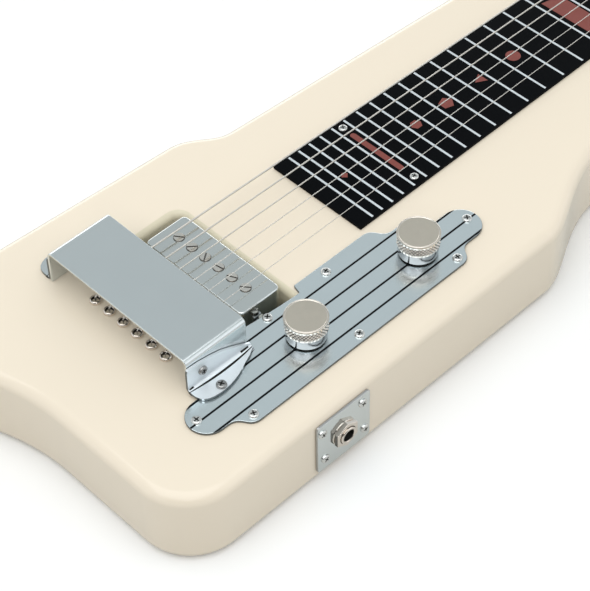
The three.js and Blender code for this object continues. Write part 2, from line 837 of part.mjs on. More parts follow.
function buildCoil() {
  const inset = pickupWall + seatGap;
  const top = pickupTop - pickupWall - seatGap;
  const bobbin = joined(
    slab(pickupOutline(inset), top - coilFlange, top),
    slab(pickupOutline(inset + coilFlange), top - coilHeight + coilFlange / 2, top - coilFlange / 2),
    slab(pickupOutline(inset), top - coilHeight, top - coilHeight + coilFlange),
  );
  const foot = top - coilHeight;
  const holes = stringNumbers.map((number) =>
    peg(pickupCentre, poleY(number), poleRadius + seatGap, foot - cutOverrun, top + cutOverrun));
  return carved(bobbin, ...holes);
}

function buildPoleScrew(number) {
  const seat = pickupTop + seatGap;
  const top = seat + poleHeadHeight;
  const screw = turned(pickupCentre, poleY(number), [
    [0, top - poleLength], [poleRadius, top - poleLength], [poleRadius, seat],
    [poleHeadRadius, seat], [poleHeadRadius, top - poleChamfer],
    [poleHeadRadius - poleChamfer, top], [0, top],
  ], holeSides);
  const slot = box(pickupCentre - poleHeadRadius - cutOverrun, pickupCentre + poleHeadRadius + cutOverrun,
    poleY(number) - poleSlotWidth / 2, poleY(number) + poleSlotWidth / 2,
    top - poleSlotDepth, top + cutOverrun);
  return carved(screw, slot);
}

// The cradle runs under the coil, up both ends of the cover and out to an ear at each end
const cradleFoot = pickupFoot - seatGap;
const earTop = -earDrop;

function buildCradle() {
  const [x0, x1] = [cradleX - cradleWidth / 2, cradleX + cradleWidth / 2];
  const parts = [
    box(x0, x1, pickupEndY(trebleSide) - seatGap - cradleThickness,
      pickupEndY(bassSide) + seatGap + cradleThickness, cradleFoot - cradleThickness, cradleFoot),
  ];
  for (const side of sides) {
    const inner = pickupEndY(side) + side * seatGap;
    const outer = inner + side * cradleThickness;
    const ear = inner + side * (earReach + cradleThickness);
    const [w0, w1] = [Math.min(inner, outer), Math.max(inner, outer)];
    const [e0, e1] = [Math.min(inner, ear), Math.max(inner, ear)];
    parts.push(box(x0, x1, w0, w1, cradleFoot - cradleThickness, earTop));
    parts.push(box(x0, x1, e0, e1, earTop - cradleThickness, earTop));
  }
  const holes = sides.map((side) => peg(cradleX, earScrewY(side), earScrewRadius + seatGap,
    earTop - cradleThickness - cutOverrun, earTop + cutOverrun, smallSides));
  return carved(joined(...parts), ...holes);
}

function buildEarScrew(side) {
  const seat = earTop + seatGap;
  const top = seat + earScrewHeadHeight;
  const tip = -recessDepth - earScrewGrip;
  const screw = turned(cradleX, earScrewY(side), [
    [0, tip], [earScrewRadius, tip + earScrewRadius], [earScrewRadius, seat], [earScrewHead, seat],
    [earScrewHead, seat + earScrewHeadHeight / 2], [earScrewHead - poleChamfer, top], [0, top],
  ], holeSides);
  const slot = box(cradleX - earScrewHead - cutOverrun, cradleX + earScrewHead + cutOverrun,
    earScrewY(side) - poleSlotWidth / 2, earScrewY(side) + poleSlotWidth / 2,
    top - poleSlotDepth, top + cutOverrun);
  return carved(screw, slot);
}

function buildEarSpring(side) {
  const top = earTop - cradleThickness - seatGap - springWire / 2;
  const foot = -recessDepth + seatGap + springWire / 2;
  const points = [];
  const steps = springCurls * smallSides;
  for (let k = 0; k <= steps; k += 1) {
    const angle = (2 * Math.PI * k) / smallSides;
    const height = foot + ((top - foot) * k) / steps;
    points.push(new THREE.Vector3(
      cradleX + springRadius * Math.cos(angle), earScrewY(side) + springRadius * Math.sin(angle), height,
    ));
  }
  turnGaps.push(leastTurnGap(points, springWire / 2, smallSides / 2));
  return wire(points, springWire / 2, springSides);
}

add('pickup_cover', buildPickupCover(), chrome);
add('pickup_coil', buildCoil(), blackPlastic);
add('pickup_cradle', buildCradle(), steel);
for (const number of stringNumbers) add(`pole_screw_${number}`, buildPoleScrew(number), nickel);
add('pickup_screw_treble', buildEarScrew(trebleSide), nickel);
add('pickup_screw_bass', buildEarScrew(bassSide), nickel);
add('pickup_spring_treble', buildEarSpring(trebleSide), steel);
add('pickup_spring_bass', buildEarSpring(bassSide), steel);

// Control plate: its edges step from one engraved stripe to the next

const stripeY = (index) => -stripeStart - index * stripePitch;
const tongueY = stripeY(2);

function plateOutline() {
  const half = plateStepRun / 2;
  const shape = new THREE.Shape();
  const tailX = -plateTail + tongueHalf;
  const endX = plateEnd - tongueHalf;
  const [tongueFar, tongueNear] = [tongueY - tongueHalf, tongueY + tongueHalf];
  const step = (x, fromY, toY, direction) => {
    const reach = direction * half;
    shape.lineTo(x - reach, fromY);
    const ease = reach * stepEaseShare;
    shape.bezierCurveTo(x + ease, fromY, x - ease, toY, x + reach, toY);
  };
  shape.moveTo(tailX, tongueFar);
  step(-plateFarTail - half, tongueFar, -plateFarEdge, 1);
  step(plateFarEnd + half, -plateFarEdge, tongueFar, 1);
  shape.lineTo(endX, tongueFar);
  shape.absarc(endX, tongueY, tongueHalf, -Math.PI / 2, Math.PI / 2, false);
  step(plateShelfEnd + half, tongueNear, -plateShelfEdge, -1);
  step(plateShelfStart + half, -plateShelfEdge, -plateNearEdge, -1);
  shape.lineTo(plateNotchEnd + plateNotchLean, -plateNearEdge);
  shape.lineTo(plateNotchEnd, -plateNotchEdge);
  shape.quadraticCurveTo(plateNotchBend, -plateNotchBendEdge, plateNotchTail, -plateNotchTailEdge);
  step(-plateNearTail - half, -plateNotchTailEdge, tongueNear, -1);
  shape.lineTo(tailX, tongueNear);
  shape.absarc(tailX, tongueY, tongueHalf, Math.PI / 2, Math.PI * 1.5, false);
  return shape;
}

function buildControlPlate() {
  const top = seatGap + plateThickness;
  const cutters = [0, 1, 2, 3].map((index) => box(
    -plateTail - cutOverrun, plateEnd + cutOverrun,
    stripeY(index) - stripeWidth / 2, stripeY(index) + stripeWidth / 2, top - stripeDepth, top + cutOverrun,
  ));
  for (const x of [volumeAt, toneAt]) {
    cutters.push(peg(x, -knobRow, bushingRadius + seatGap, 0, top + cutOverrun));
  }
  return carved(slab(plateOutline(), seatGap, top, plateSteps), ...cutters);
}

add('control_plate', buildControlPlate(), chrome);

// Knobs, their potentiometers and the shaft that each knob turns

const plateTop = seatGap + plateThickness;
const knobFoot = plateTop + seatGap;
const knobTop = knobFoot + knobHeight;
const shaftTop = knobTop - shaftCap - seatGap;
const bushingTop = plateTop + bushingHeight;

function buildKnob(x) {
  const rim = knobRimShares;
  const rimFoot = knobTop - knobRim;
  const grooveFoot = rimFoot - knobGroove;
  const knurlFoot = grooveFoot - knobKnurl;
  const grooveRadius = knobTopRadius - knobGrooveDepth;
  const knob = turned(x, -knobRow, [
    [0, knobFoot], [knobFootRadius - knobGroove / 2, knobFoot],
    [knobFootRadius, knobFoot + knobGroove / 2],
    [knobFootRadius + knobGroove / 2, knurlFoot - knobGroove],
    [knobTopRadius - knobGroove / 2, knurlFoot], [knobTopRadius - knobGroove / 2, grooveFoot],
    [grooveRadius, grooveFoot], [grooveRadius, rimFoot],
    [knobTopRadius - knobRim * rim.foot, rimFoot], [knobTopRadius, rimFoot + knobRim * rim.edge],
    [knobTopRadius, knobTop - knobRim * rim.edge], [knobTopRadius - knobRim * rim.shoulder, knobTop],
    [knobTopRadius - knobRim * rim.lip, knobTop], [knobTopRadius - knobRim, knobTop - knobGroove / 2],
    [0, knobTop - knobGroove / 2],
  ], knobSides);
  const recessTop = knobFoot + knobRecessDepth;
  const recess = peg(x, -knobRow, knobRecessRadius, knobFoot - cutOverrun, recessTop, roundSides);
  const bore = peg(x, -knobRow, shaftRadius + seatGap, knobFoot, shaftTop + seatGap);
  return carved(knob, recess, bore);
}

function buildPot(x) {
  const body = turned(x, -knobRow, [
    [0, -potHeight], [potRadius - potEdge, -potHeight], [potRadius, -potHeight + potEdge],
    [potRadius, 0], [bushingRadius, 0], [bushingRadius, bushingTop], [0, bushingTop],
  ]);
  const bore = peg(x, -knobRow, shaftRadius + seatGap, -shaftDepth, bushingTop + cutOverrun);
  return carved(body, bore);
}

function buildShaft(x) {
  return peg(x, -knobRow, shaftRadius, -shaftDepth + seatGap, shaftTop, roundSides);
}

function hexRing(half, boreRadius, z0, z1) {
  const radius = half / Math.cos(Math.PI / 6);
  const hex = new THREE.CylinderGeometry(radius, radius, z1 - z0, 6).rotateX(Math.PI / 2);
  hex.translate(0, 0, (z0 + z1) / 2);
  return carved(hex, peg(0, 0, boreRadius, z0 - cutOverrun, z1 + cutOverrun));
}

for (const [label, x] of [['volume', volumeAt], ['tone', toneAt]]) {
  add(`knob_${label}`, buildKnob(x), nickel);
  add(`pot_${label}`, buildPot(x), steel);
  add(`shaft_${label}`, buildShaft(x), brass);
}

// Tone capacitor, lying across the cavity between the two potentiometers
const capacitorZ = -seatGap - capacitorRadius;
const capacitorStraight = capacitorLength - 2 * capacitorRadius;
const capacitor = new THREE.CapsuleGeometry(capacitorRadius, capacitorStraight, edgeSteps, holeSides);
capacitor.rotateZ(Math.PI / 2).translate((volumeAt + toneAt) / 2, -knobRow, capacitorZ);
add('tone_capacitor', capacitor, brownPlastic);

// Jack: a plate on the treble side, with the socket bolted through it

const jackFace = -trebleReach - seatGap;
const jackPlateFace = jackFace - jackPlateThickness;
const jackMouth = jackPlateFace - jackStand;

function upright(geometry) {
  return geometry.rotateX(Math.PI / 2).translate(jackX, 0, jackZ);
}

function buildJackPlate() {
  const [w, h] = [jackPlateWidth / 2, jackPlateHeight / 2];
  const plate = upright(slab(roundedBlock(-w, w, -h, h, jackPlateCorner), -jackFace, -jackPlateFace));
  const hole = crossPeg(jackX, jackZ, jackBarrelRadius + seatGap,
    jackPlateFace - cutOverrun, jackFace + cutOverrun);
  return carved(plate, hole);
}

function buildJackSocket() {
  const shoulder = -jackFace - seatGap;
  const boreEnd = -jackMouth - jackBoreDepth;
  const back = boreEnd - jackTailLength;
  return upright(turned(0, 0, [
    [0, back], [jackTailRadius, back], [jackTailRadius, shoulder - jackHousingLength],
    [jackHousingRadius, shoulder - jackHousingLength], [jackHousingRadius, shoulder],
    [jackBarrelRadius, shoulder], [jackBarrelRadius, -jackMouth - seatGap],
    [jackBarrelRadius - seatGap, -jackMouth], [jackBoreRadius, -jackMouth],
    [jackBoreRadius, boreEnd], [0, boreEnd],
  ]));
}

add('jack_plate', buildJackPlate(), chrome);
add('jack_socket', buildJackSocket(), nickel);
const nutSeat = -jackPlateFace + seatGap;
const jackNut = hexRing(jackNutHalf, jackBarrelRadius + seatGap, nutSeat, nutSeat + jackNutHeight);
add('jack_nut', upright(jackNut), nickel);

// Tuning machines: on each side one plate with lugs, three posts with gears and three keys with worms

const plateUnder = headBottom - seatGap - machinePlate;
const gearTop = plateUnder - seatGap - wormPitchRadius;
const wormLevel = gearTop - gearThickness / 2;
const wormSetout = gearPitchRadius + wormPitchRadius;
const wormLead = (2 * Math.PI * gearPitchRadius) / gearTeeth;
const wormRoot = wormPitchRadius - toothRoot;
const wormTip = wormPitchRadius + toothTip;

function buildMachinePlate(side) {
  const start = neckEndReach + postInset - machineMargin;
  const end = neckEndReach + postInset + 2 * postPitch + machineMargin + wormTip;
  const outline = roundedBlock(start, end,
    side * postReach - machineWidth / 2, side * postReach + machineWidth / 2, machineCorner);
  const parts = [slab(outline, plateUnder, plateUnder + machinePlate)];
  const cutters = [];
  for (let place = 0; place < 3; place += 1) {
    const x = neckEndReach + postInset + place * postPitch;
    const wormX = x + wormSetout;
    cutters.push(peg(x, side * postReach, postRadius + seatGap,
      plateUnder - cutOverrun, headBottom, postSides));
    for (const end of [-1, 1]) {
      const y = side * postReach + end * lugOffset;
      parts.push(box(wormX - lugWidth / 2, wormX + lugWidth / 2, y - lugThickness / 2, y + lugThickness / 2,
        wormLevel - lugWidth / 2, plateUnder + machinePlate / 2));
    }
    const lugReach = lugOffset + lugThickness;
    cutters.push(crossPeg(wormX, wormLevel, wormRoot + seatGap,
      side * postReach - lugReach, side * postReach + lugReach, smallSides));
  }
  return carved(joined(...parts), ...cutters);
}

function buildPost(machine) {
  const waistFoot = headTop + 2 * postFlare;
  const waistTop = postTop - postCap;
  const post = turned(machine.x, machine.y, [
    [0, gearTop - gearThickness], [postRadius, gearTop - gearThickness], [postRadius, waistFoot],
    [postWaist, waistFoot + postFlare], [postWaist, waistTop - postFlare], [postRadius, waistTop],
    [postRadius, postTop - postFlare], [postWaist, postTop], [0, postTop],
  ], postSides);
  const gear = new THREE.Shape();
  const root = gearPitchRadius - toothRoot;
  const tip = gearPitchRadius + toothTip;
  const toothFoot = toothHalf + toothSlope * toothFootShare;
  for (let tooth = 0; tooth < gearTeeth; tooth += 1) {
    const middle = (2 * Math.PI * (tooth + 0.5)) / gearTeeth;
    const spread = [
      [root, -toothFoot], [tip, -(toothHalf - toothSlope)],
      [tip, toothHalf - toothSlope], [root, toothFoot],
    ];
    spread.forEach(([radius, across], corner) => {
      const angle = middle + across / radius;
      const [x, y] = [radius * Math.cos(angle), radius * Math.sin(angle)];
      if (tooth === 0 && corner === 0) gear.moveTo(x, y);
      else gear.lineTo(x, y);
    });
  }
  const wheel = slab(gear, gearTop - gearThickness, gearTop).translate(machine.x, machine.y, 0);
  const throughHole = crossPeg(machine.x, (waistFoot + waistTop) / 2, postHole,
    machine.y - postRadius - cutOverrun, machine.y + postRadius + cutOverrun, wireSides);
  return carved(joined(post, wheel), throughHole);
}

// One worm thread: a tapered ridge that winds round the key's shaft and meshes with the gear
function wormThread(machine) {
  const rings = [];
  const steps = wormTurns * threadSteps;
  for (let k = 0; k <= steps; k += 1) {
    const turn = k / threadSteps - wormTurns / 2;
    const angle = 2 * Math.PI * turn;
    const along = turn * wormLead;
    const corner = (radius, offset) => new THREE.Vector3(
      machine.x + wormSetout - radius * Math.cos(angle),
      machine.y + along + offset,
      wormLevel + radius * Math.sin(angle),
    );
    const base = toothHalf + toothSlope;
    const crest = toothHalf - toothSlope;
    const sunk = wormRoot - seatGap;
    rings.push([corner(sunk, -base), corner(sunk, base), corner(wormTip, crest), corner(wormTip, -crest)]);
  }
  return loft(rings);
}

// A button with a waist at the shaft and a flat oval blade for the fingers
function buttonBlade(machine) {
  const start = machine.side * (postReach + keyReach);
  const rings = buttonRunShares.map((run, index) => {
    const ring = [];
    for (let k = 0; k < bladeSides; k += 1) {
      const angle = (2 * Math.PI * k) / bladeSides;
      ring.push(new THREE.Vector3(
        machine.x + wormSetout + buttonHalf * buttonWidthShares[index] * Math.cos(angle),
        start + machine.side * run * buttonLength,
        wormLevel + (buttonThickness / 2) * buttonThicknessShares[index] * Math.sin(angle),
      ));
    }
    return machine.side === bassSide ? ring.reverse() : ring;
  });
  return loft(rings);
}

function buildKey(machine) {
  const inner = machine.side * (postReach - lugOffset - lugThickness - seatGap);
  const outer = machine.side * (postReach + keyReach + buttonLength / 2);
  const shaft = crossPeg(machine.x + wormSetout, wormLevel, wormRoot, inner, outer);
  return joined(shaft, wormThread(machine), buttonBlade(machine));
}

add('tuner_plate_treble', buildMachinePlate(trebleSide), nickel);
add('tuner_plate_bass', buildMachinePlate(bassSide), nickel);
for (const number of stringNumbers) {
  const machine = machineOf(number);
  add(`tuner_post_${number}`, buildPost(machine), nickel);
  add(`tuner_key_${number}`, buildKey(machine), nickel);
}

// Strings: from the ball in the back, up through the ferrule, over saddle and nut, round the post

function stringPoints(number) {
  const radius = gaugeRadius(number);
  const machine = machineOf(number);
  const level = stringLevel(number);
  const exitHeight = seatGap + ferruleDome + radius + seatGap;
  const overSaddle = saddleRadius + seatGap + radius;
  const climb = Math.atan2(level - exitHeight, ferruleSetback);
  const points = [];
  points.push(new THREE.Vector3(ferruleX, ferruleY(number), anchor.pocketTop - seatGap - ballLength / 2));
  points.push(new THREE.Vector3(ferruleX, ferruleY(number), -ferruleDepth));
  const bendRadius = ferruleBore;
  const bendCentre = [ferruleX + bendRadius, exitHeight - bendRadius / 2];
  const bend = arcPoints(bendCentre, Math.PI, Math.PI / 2 + climb, bendRadius, bendSteps);
  for (const [x, z] of bend) points.push(new THREE.Vector3(x, ferruleY(number), z));
  const crest = arcPoints([0, saddleAxis], Math.PI / 2 + climb, Math.PI / 2, overSaddle, crestSteps);
  for (const [x, z] of crest) points.push(new THREE.Vector3(x, saddleY(number), z));
  points.push(new THREE.Vector3(nutFace, nutY(number), level));
  points.push(new THREE.Vector3(nutBack + radius, nutY(number), level));
  const wrap = postRadius + seatGap + radius;
  const [dx, dy] = [machine.x - nutBack, machine.y - nutY(number)];
  const distance = Math.hypot(dx, dy);
  const heading = Math.atan2(dy, dx) - machine.side * Math.asin(wrap / distance);
  const start = heading - (machine.side * Math.PI) / 2;
  const pitch = 2 * radius + windingGap;
  const steps = windingTurns * turnSteps;
  for (let k = 0; k <= steps; k += 1) {
    const turn = k / turnSteps;
    const angle = start + machine.side * 2 * Math.PI * turn;
    points.push(new THREE.Vector3(
      machine.x + wrap * Math.cos(angle), machine.y + wrap * Math.sin(angle), windingTop - pitch * turn,
    ));
  }
  return points;
}

function buildString(number) {
  const points = stringPoints(number);
  turnGaps.push(leastTurnGap(points, gaugeRadius(number), turnSteps / 2));
  const ballTop = anchor.pocketTop - seatGap;
  const ball = peg(ferruleX, ferruleY(number), ballRadius, ballTop - ballLength, ballTop, smallSides);
  return joined(wire(points, gaugeRadius(number)), ball);
}

for (const number of stringNumbers) add(`string_${number}`, buildString(number), steel);

console.log('least gap between the turns of a string or spring, mm:', Math.min(...turnGaps).toFixed(2));

// Stand the guitar on its back, centred on the origin
const bounds = new THREE.Box3().setFromObject(guitar);
const middle = bounds.getCenter(new THREE.Vector3());
guitar.position.set(-middle.x, -middle.y, -bounds.min.z);

export default guitar;
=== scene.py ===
import math
import bmesh
import bpy
from mathutils import Matrix, Vector


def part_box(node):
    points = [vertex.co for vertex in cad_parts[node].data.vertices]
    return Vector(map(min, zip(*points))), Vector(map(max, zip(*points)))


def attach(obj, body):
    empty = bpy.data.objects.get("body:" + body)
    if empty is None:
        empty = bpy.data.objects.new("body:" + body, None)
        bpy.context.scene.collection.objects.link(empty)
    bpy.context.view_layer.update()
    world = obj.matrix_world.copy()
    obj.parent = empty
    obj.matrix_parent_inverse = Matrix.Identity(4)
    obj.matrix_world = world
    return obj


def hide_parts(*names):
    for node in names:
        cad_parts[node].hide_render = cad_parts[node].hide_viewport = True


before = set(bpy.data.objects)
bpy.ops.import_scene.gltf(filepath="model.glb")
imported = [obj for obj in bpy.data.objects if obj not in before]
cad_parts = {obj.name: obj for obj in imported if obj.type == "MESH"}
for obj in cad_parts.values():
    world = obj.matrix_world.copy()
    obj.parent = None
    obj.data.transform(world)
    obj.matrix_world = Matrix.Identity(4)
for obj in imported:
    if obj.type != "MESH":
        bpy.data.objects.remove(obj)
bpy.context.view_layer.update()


# The body and the neck are one thick plank of wood with rounded edges, a hooked tail and a stepped
# waist. The plank is routed for the pickup, sprayed cream and polished. The head is planed thinner.
MM = 0.001
saddle_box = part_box("bridge_saddle")
board_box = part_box("fretboard")
body_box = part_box("body")
saddle_x = (saddle_box[0].x + saddle_box[1].x) / 2
centre_y = (board_box[0].y + board_box[1].y) / 2
top_z = body_box[1].z
body_thickness = 44.5
edge_round = 6.0
head_drop = 12.0
head_thickness = 16.0
cream = (0.87, 0.765, 0.62)


def spot(x, y, z=0.0):
    """x mm from the saddle to the nut, y mm to the bass side and z mm above the top of the body."""
    return Vector((saddle_x + x * MM, centre_y + y * MM, top_z + z * MM))


def bend(points, steps):
    """The points of a smooth bend drawn by its control points."""
    path = [points[0]]
    for k in range(1, steps + 1):
        t = k / steps
        level = list(points)
        while len(level) > 1:
            level = [
                ((1 - t) * a[0] + t * b[0], (1 - t) * a[1] + t * b[1])
                for a, b in zip(level, level[1:])
            ]
        path.append(level[0])
    return path


def arc(x, y, radius, start, end, steps):
    path = []
    for k in range(steps + 1):
        angle = math.radians(start + (end - start) * k / steps)
        path.append((x + radius * math.cos(angle), y + radius * math.sin(angle)))
    return path


def round_block(x0, x1, y0, y1, radius, steps=8, bass_radius=None):
    """A block's outline with round corners. The two on the bass side may have a radius of their own."""
    bass = bass_radius or radius
    return (
        arc(x1 - radius, y0 + radius, radius, -90, 0, steps)
        + arc(x1 - bass, y1 - bass, bass, 0, 90, steps)
        + arc(x0 + bass, y1 - bass, bass, 90, 180, steps)
        + arc(x0 + radius, y0 + radius, radius, 180, 270, steps)
    )


def rounded_end(x, half, corner, steps):
    """The nut end of an outline, across from the treble side to the bass side."""
    return (
        bend([(x - corner, -half), (x, -half), (x, corner - half)], steps)
        + bend([(x, half - corner), (x, half), (x - corner, half)], steps)
    )


def verts_of(result):
    return [v for v in result["geom"] if isinstance(v, bmesh.types.BMVert)]


def drawn_out(mesh, faces, shift):
    """Draws the faces out by the shift and returns the new vertices."""
    verts = verts_of(bmesh.ops.extrude_face_region(mesh, geom=faces))
    bmesh.ops.translate(mesh, verts=verts, vec=shift)
    return verts


def sheet_metal(outline, low, high, place=spot):
    """A flat piece of the outline between two heights."""
    mesh = bmesh.new()
    face = mesh.faces.new([mesh.verts.new(place(x, y, low)) for x, y in outline])
    drawn_out(mesh, [face], place(0, 0, high) - place(0, 0, low))
    bmesh.ops.recalc_face_normals(mesh, faces=mesh.faces)
    return mesh


def rim_of(mesh, points):
    """A closed rim of edges through the points."""
    verts = [mesh.verts.new(point) for point in points]
    return [mesh.edges.new((verts[k - 1], verts[k])) for k in range(len(verts))]


def edges_at(mesh, z):
    level = top_z + z * MM
    return [e for e in mesh.edges if all(abs(v.co.z - level) < 1e-6 for v in e.verts)]


def ease(mesh, edges, radius, segments=2, unit=MM):
    bmesh.ops.bevel(
        mesh, geom=edges, offset=radius * unit, offset_type="OFFSET", segments=segments,
        profile=0.5, affect="EDGES", clamp_overlap=True, material=-1,
    )


def mark(faces, index, test=None):
    """The faces that pass the test, put to each with its middle, take the material of that index."""
    for face in faces:
        if test is None or test(face, face.calc_center_median()):
            face.material_index = index


def in_scene(name, data):
    thing = bpy.data.objects.new(name, data)
    bpy.context.collection.objects.link(thing)
    return thing


def shaped(mesh, name, materials, nodes=(), crease=32, body="guitar"):
    """The finished mesh as a piece of the guitar. A broad flat face meets its eased edge unblended."""
    nearly_flat, broad_share = 3, 40
    bmesh.ops.recalc_face_normals(mesh, faces=mesh.faces)
    for face in mesh.faces:
        face.smooth = True
    for edge in mesh.edges:
        angle = math.degrees(edge.calc_face_angle(0))
        areas = sorted(face.calc_area() for face in edge.link_faces)
        blended = angle < nearly_flat or areas[-1] < broad_share * areas[0]
        edge.smooth = edge.smooth and angle < crease and blended
    data = bpy.data.meshes.new(name)
    mesh.to_mesh(data)
    mesh.free()
    for material in materials if isinstance(materials, list) else [materials]:
        data.materials.append(material)
    piece = in_scene(name, data)
    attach(piece, body)
    if nodes:
        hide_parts(*nodes)


def feed(tree, shader, inputs):
    """Each input takes a value or another node's output."""
    for name, value in inputs.items():
        if isinstance(value, bpy.types.NodeSocket):
            tree.links.new(value, shader.inputs[name])
        else:
            shader.inputs[name].default_value = value


def node(tree, kind, inputs=None):
    made = tree.nodes.new("ShaderNode" + kind)
    if kind == "Mix":
        made.data_type = "RGBA"
    feed(tree, made, inputs or {})
    return made


def surface(
    name, colour, metallic, roughness, spread, grain, bump,
    coat=0.0, stretch=(1, 1, 1), tint=0.04, specular=0.5,
):
    """A material whose gloss, colour and height vary with a grain of that size in mm."""
    material = bpy.data.materials.new(name)
    material.use_nodes = True
    tree = material.node_tree
    place = node(tree, "TexCoord").outputs["Object"]
    turn = node(tree, "Mapping", {"Vector": place, "Scale": stretch})
    noise = node(tree, "TexNoise", {"Vector": turn.outputs["Vector"], "Scale": 1 / (grain * MM), "Detail": 4})
    gloss = node(tree, "MapRange", {
        "Value": noise.outputs["Fac"], "To Min": max(roughness - spread, 0), "To Max": roughness + spread,
    })
    broad = node(tree, "TexNoise", {"Vector": place, "Scale": 1 / (grain * 9 * MM)})
    shade = node(tree, "Mix", {
        "Factor": broad.outputs["Fac"],
        "A": (*[c * (1 - tint) for c in colour], 1),
        "B": (*[min(c * (1 + tint), 1) for c in colour], 1),
    })
    height = node(tree, "Bump", {"Height": noise.outputs["Fac"], "Distance": bump * MM, "Strength": 1.0})
    feed(tree, tree.nodes["Principled BSDF"], {
        "Base Color": shade.outputs["Result"], "Metallic": metallic, "Roughness": gloss.outputs["Result"],
        "Normal": height.outputs["Normal"], "Specular IOR Level": specular,
    })
    if coat:
        feed(tree, tree.nodes["Principled BSDF"], {"Coat Weight": coat, "Coat Roughness": 0.03})
    return material


lacquer = surface("cream_lacquer", cream, 0.0, 0.22, 0.03, 6.0, 0.006, coat=0.6, tint=0.006, specular=0.2)

tail_x, treble_y, corner, tail_straight = -70.7, -96.6, 28.0, -15.0
horn_x, horn_y, horn_top, horn_run = -95.5, 60.0, 88.8, 19.5
waist_start, waist_end, waist_y = 166.0, 232.0, -73.2
bass_start, bass_end, bass_waist_y = 80.0, 108.0, 67.1
bass_y, neck_x, neck_half, neck_round = 80.5, 582.0, 43.0, 9.0
waist_run, waist_step = waist_end - waist_start, waist_y - treble_y
bass_run, bass_step = bass_end - bass_start, bass_y - bass_waist_y
horn_rise = horn_top - horn_y

body_edge = arc(tail_x + corner, treble_y + corner, corner, 180, 270, 24)
body_edge += bend([
    (waist_start, treble_y),
    (waist_start + 0.25 * waist_run, treble_y),
    (waist_start + 0.55 * waist_run, treble_y + 0.95 * waist_step),
    (waist_end, waist_y),
], 24)
body_edge += rounded_end(neck_x, neck_half, neck_round, 8)
body_edge += bend([
    (bass_end, bass_waist_y),
    (bass_start + 0.65 * bass_run, bass_y - 0.95 * bass_step),
    (bass_start + 0.5 * bass_run, bass_y - 0.15 * bass_step),
    (bass_start, bass_y),
], 20)
body_edge += bend([
    (horn_x + horn_run, horn_top),
    (horn_x + 0.13 * horn_run, horn_y + 1.03 * horn_rise),
    (horn_x - 0.54 * horn_run, horn_y + 0.55 * horn_rise),
    (horn_x, horn_y),
], 24)
body_edge += bend([(horn_x, horn_y), (tail_x, (horn_y + tail_straight) / 2), (tail_x, tail_straight)], 24)[1:]

recess_tail, recess_nut, recess_treble, recess_bass = 21.9, 51.9, -38.4, 42.1
recess_depth, lip, lip_top, wall_inset = 27.0, 3.7, 0.2, 0.4
tight_corner, wide_corner = 1.0, 5.3


def recess_edge(grow):
    """The recess grown outward: tight corners under the plate and wide ones at the bass end."""
    return round_block(
        recess_tail - grow, recess_nut + grow, recess_treble - grow, recess_bass + grow,
        tight_corner + grow, 10, wide_corner + grow,
    )


slab = sheet_metal(body_edge, -body_thickness, 0)
ease(slab, edges_at(slab, 0) + edges_at(slab, -body_thickness), edge_round, 8)
top_face = max(slab.faces, key=lambda f: f.calc_center_median().z)
back_face = min(slab.faces, key=lambda f: f.calc_center_median().z)
bmesh.ops.inset_individual(slab, faces=[top_face, back_face], thickness=0.8 * MM)
top_face = max(slab.faces, key=lambda f: (round(f.calc_center_median().z, 6), f.calc_area()))
rim = list(top_face.edges)
bmesh.ops.delete(slab, geom=[top_face], context="FACES_ONLY")
angles = [math.radians(90 - 15 * k) for k in range(7)]
levels = [(lip * (1 - math.cos(a)), -lip * (1 - math.sin(a))) for a in angles] + [(0.0, -recess_depth)]
rings = [rim_of(slab, [spot(x, y, z) for x, y in recess_edge(grow)]) for grow, z in levels]
bmesh.ops.triangle_fill(slab, use_beauty=True, edges=rim + rings[0])
lip_start = spot(0, 0, -lip_top).z
treble_wall = spot(0, recess_treble + wall_inset, 0).y
# Below the top of the lip, the recess's walls take a darker cream. On the lower walls it is thin lacquer; on
# the rounded lip it is painted shade. The floor and the treble wall take the cavity's paint.
for upper, lower in zip(rings, rings[1:]):
    walls = bmesh.ops.bridge_loops(slab, edges=upper + lower)["faces"]
    mark(walls, 2, lambda face, middle: middle.z < lip_start)
mark(walls, 1, lambda face, middle: middle.y < treble_wall)
mark(bmesh.ops.contextual_create(slab, geom=rings[-1])["faces"], 1)
cavity_paint = surface("cavity_paint", (0.38, 0.4, 0.35), 0.0, 0.6, 0.08, 2.0, 0.03, tint=0.1)
thin_lacquer_and_painted_shade = surface("thin_lacquer_and_painted_shade", (0.75, 0.68, 0.51), 0.0, 0.4, 0.06, 4.0, 0.01, tint=0.06)
shaped(slab, "body_slab", [lacquer, cavity_paint, thin_lacquer_and_painted_shade], ["body", "neck"], crease=40)

head_start, head_end, head_half, head_corner = 562.0, 712.0, 39.0, 14.0
head_edge = [(head_start, 0.5 - head_half)]
head_edge += rounded_end(head_end, head_half, head_corner, 10)
head_edge.append((head_start, head_half - 0.5))
head = sheet_metal(head_edge, -head_drop - head_thickness, -head_drop)
ease(head, edges_at(head, -head_drop) + edges_at(head, -head_drop - head_thickness), 3.0, 5)
shaped(head, "head", lacquer, ["neck"], crease=40)


# The fretboard is a thin plate of black plastic with its edges eased, held down by small
# round-headed screws. The fret lines are only printed on it, in a pale blue white.
black_board = surface("black_board", (0.0015, 0.002, 0.0028), 0.0, 0.34, 0.05, 1.2, 0.004, specular=0.04)
line_print = surface("line_print", (0.62, 0.67, 0.7), 0.0, 0.45, 0.05, 0.6, 0.01, tint=0.08)
board_start, board_end = 104.0, 571.2
board_low, board_top = 0.3, 1.9
scale_length = 571.5
half_at_body, narrowing = 29.9, 4.5
print_height = 0.05
line_width, line_inset = 1.2, 1.0


def board_half(x):
    return half_at_body - narrowing * (x - board_start) / (scale_length - board_start)


board = sheet_metal([
    (board_start, -board_half(board_start)), (board_end, -board_half(board_end)),
    (board_end, board_half(board_end)), (board_start, board_half(board_start)),
], board_low, board_top)
ease(board, edges_at(board, board_top), 0.35, 3)
shaped(board, "board", black_board, ["fretboard"])


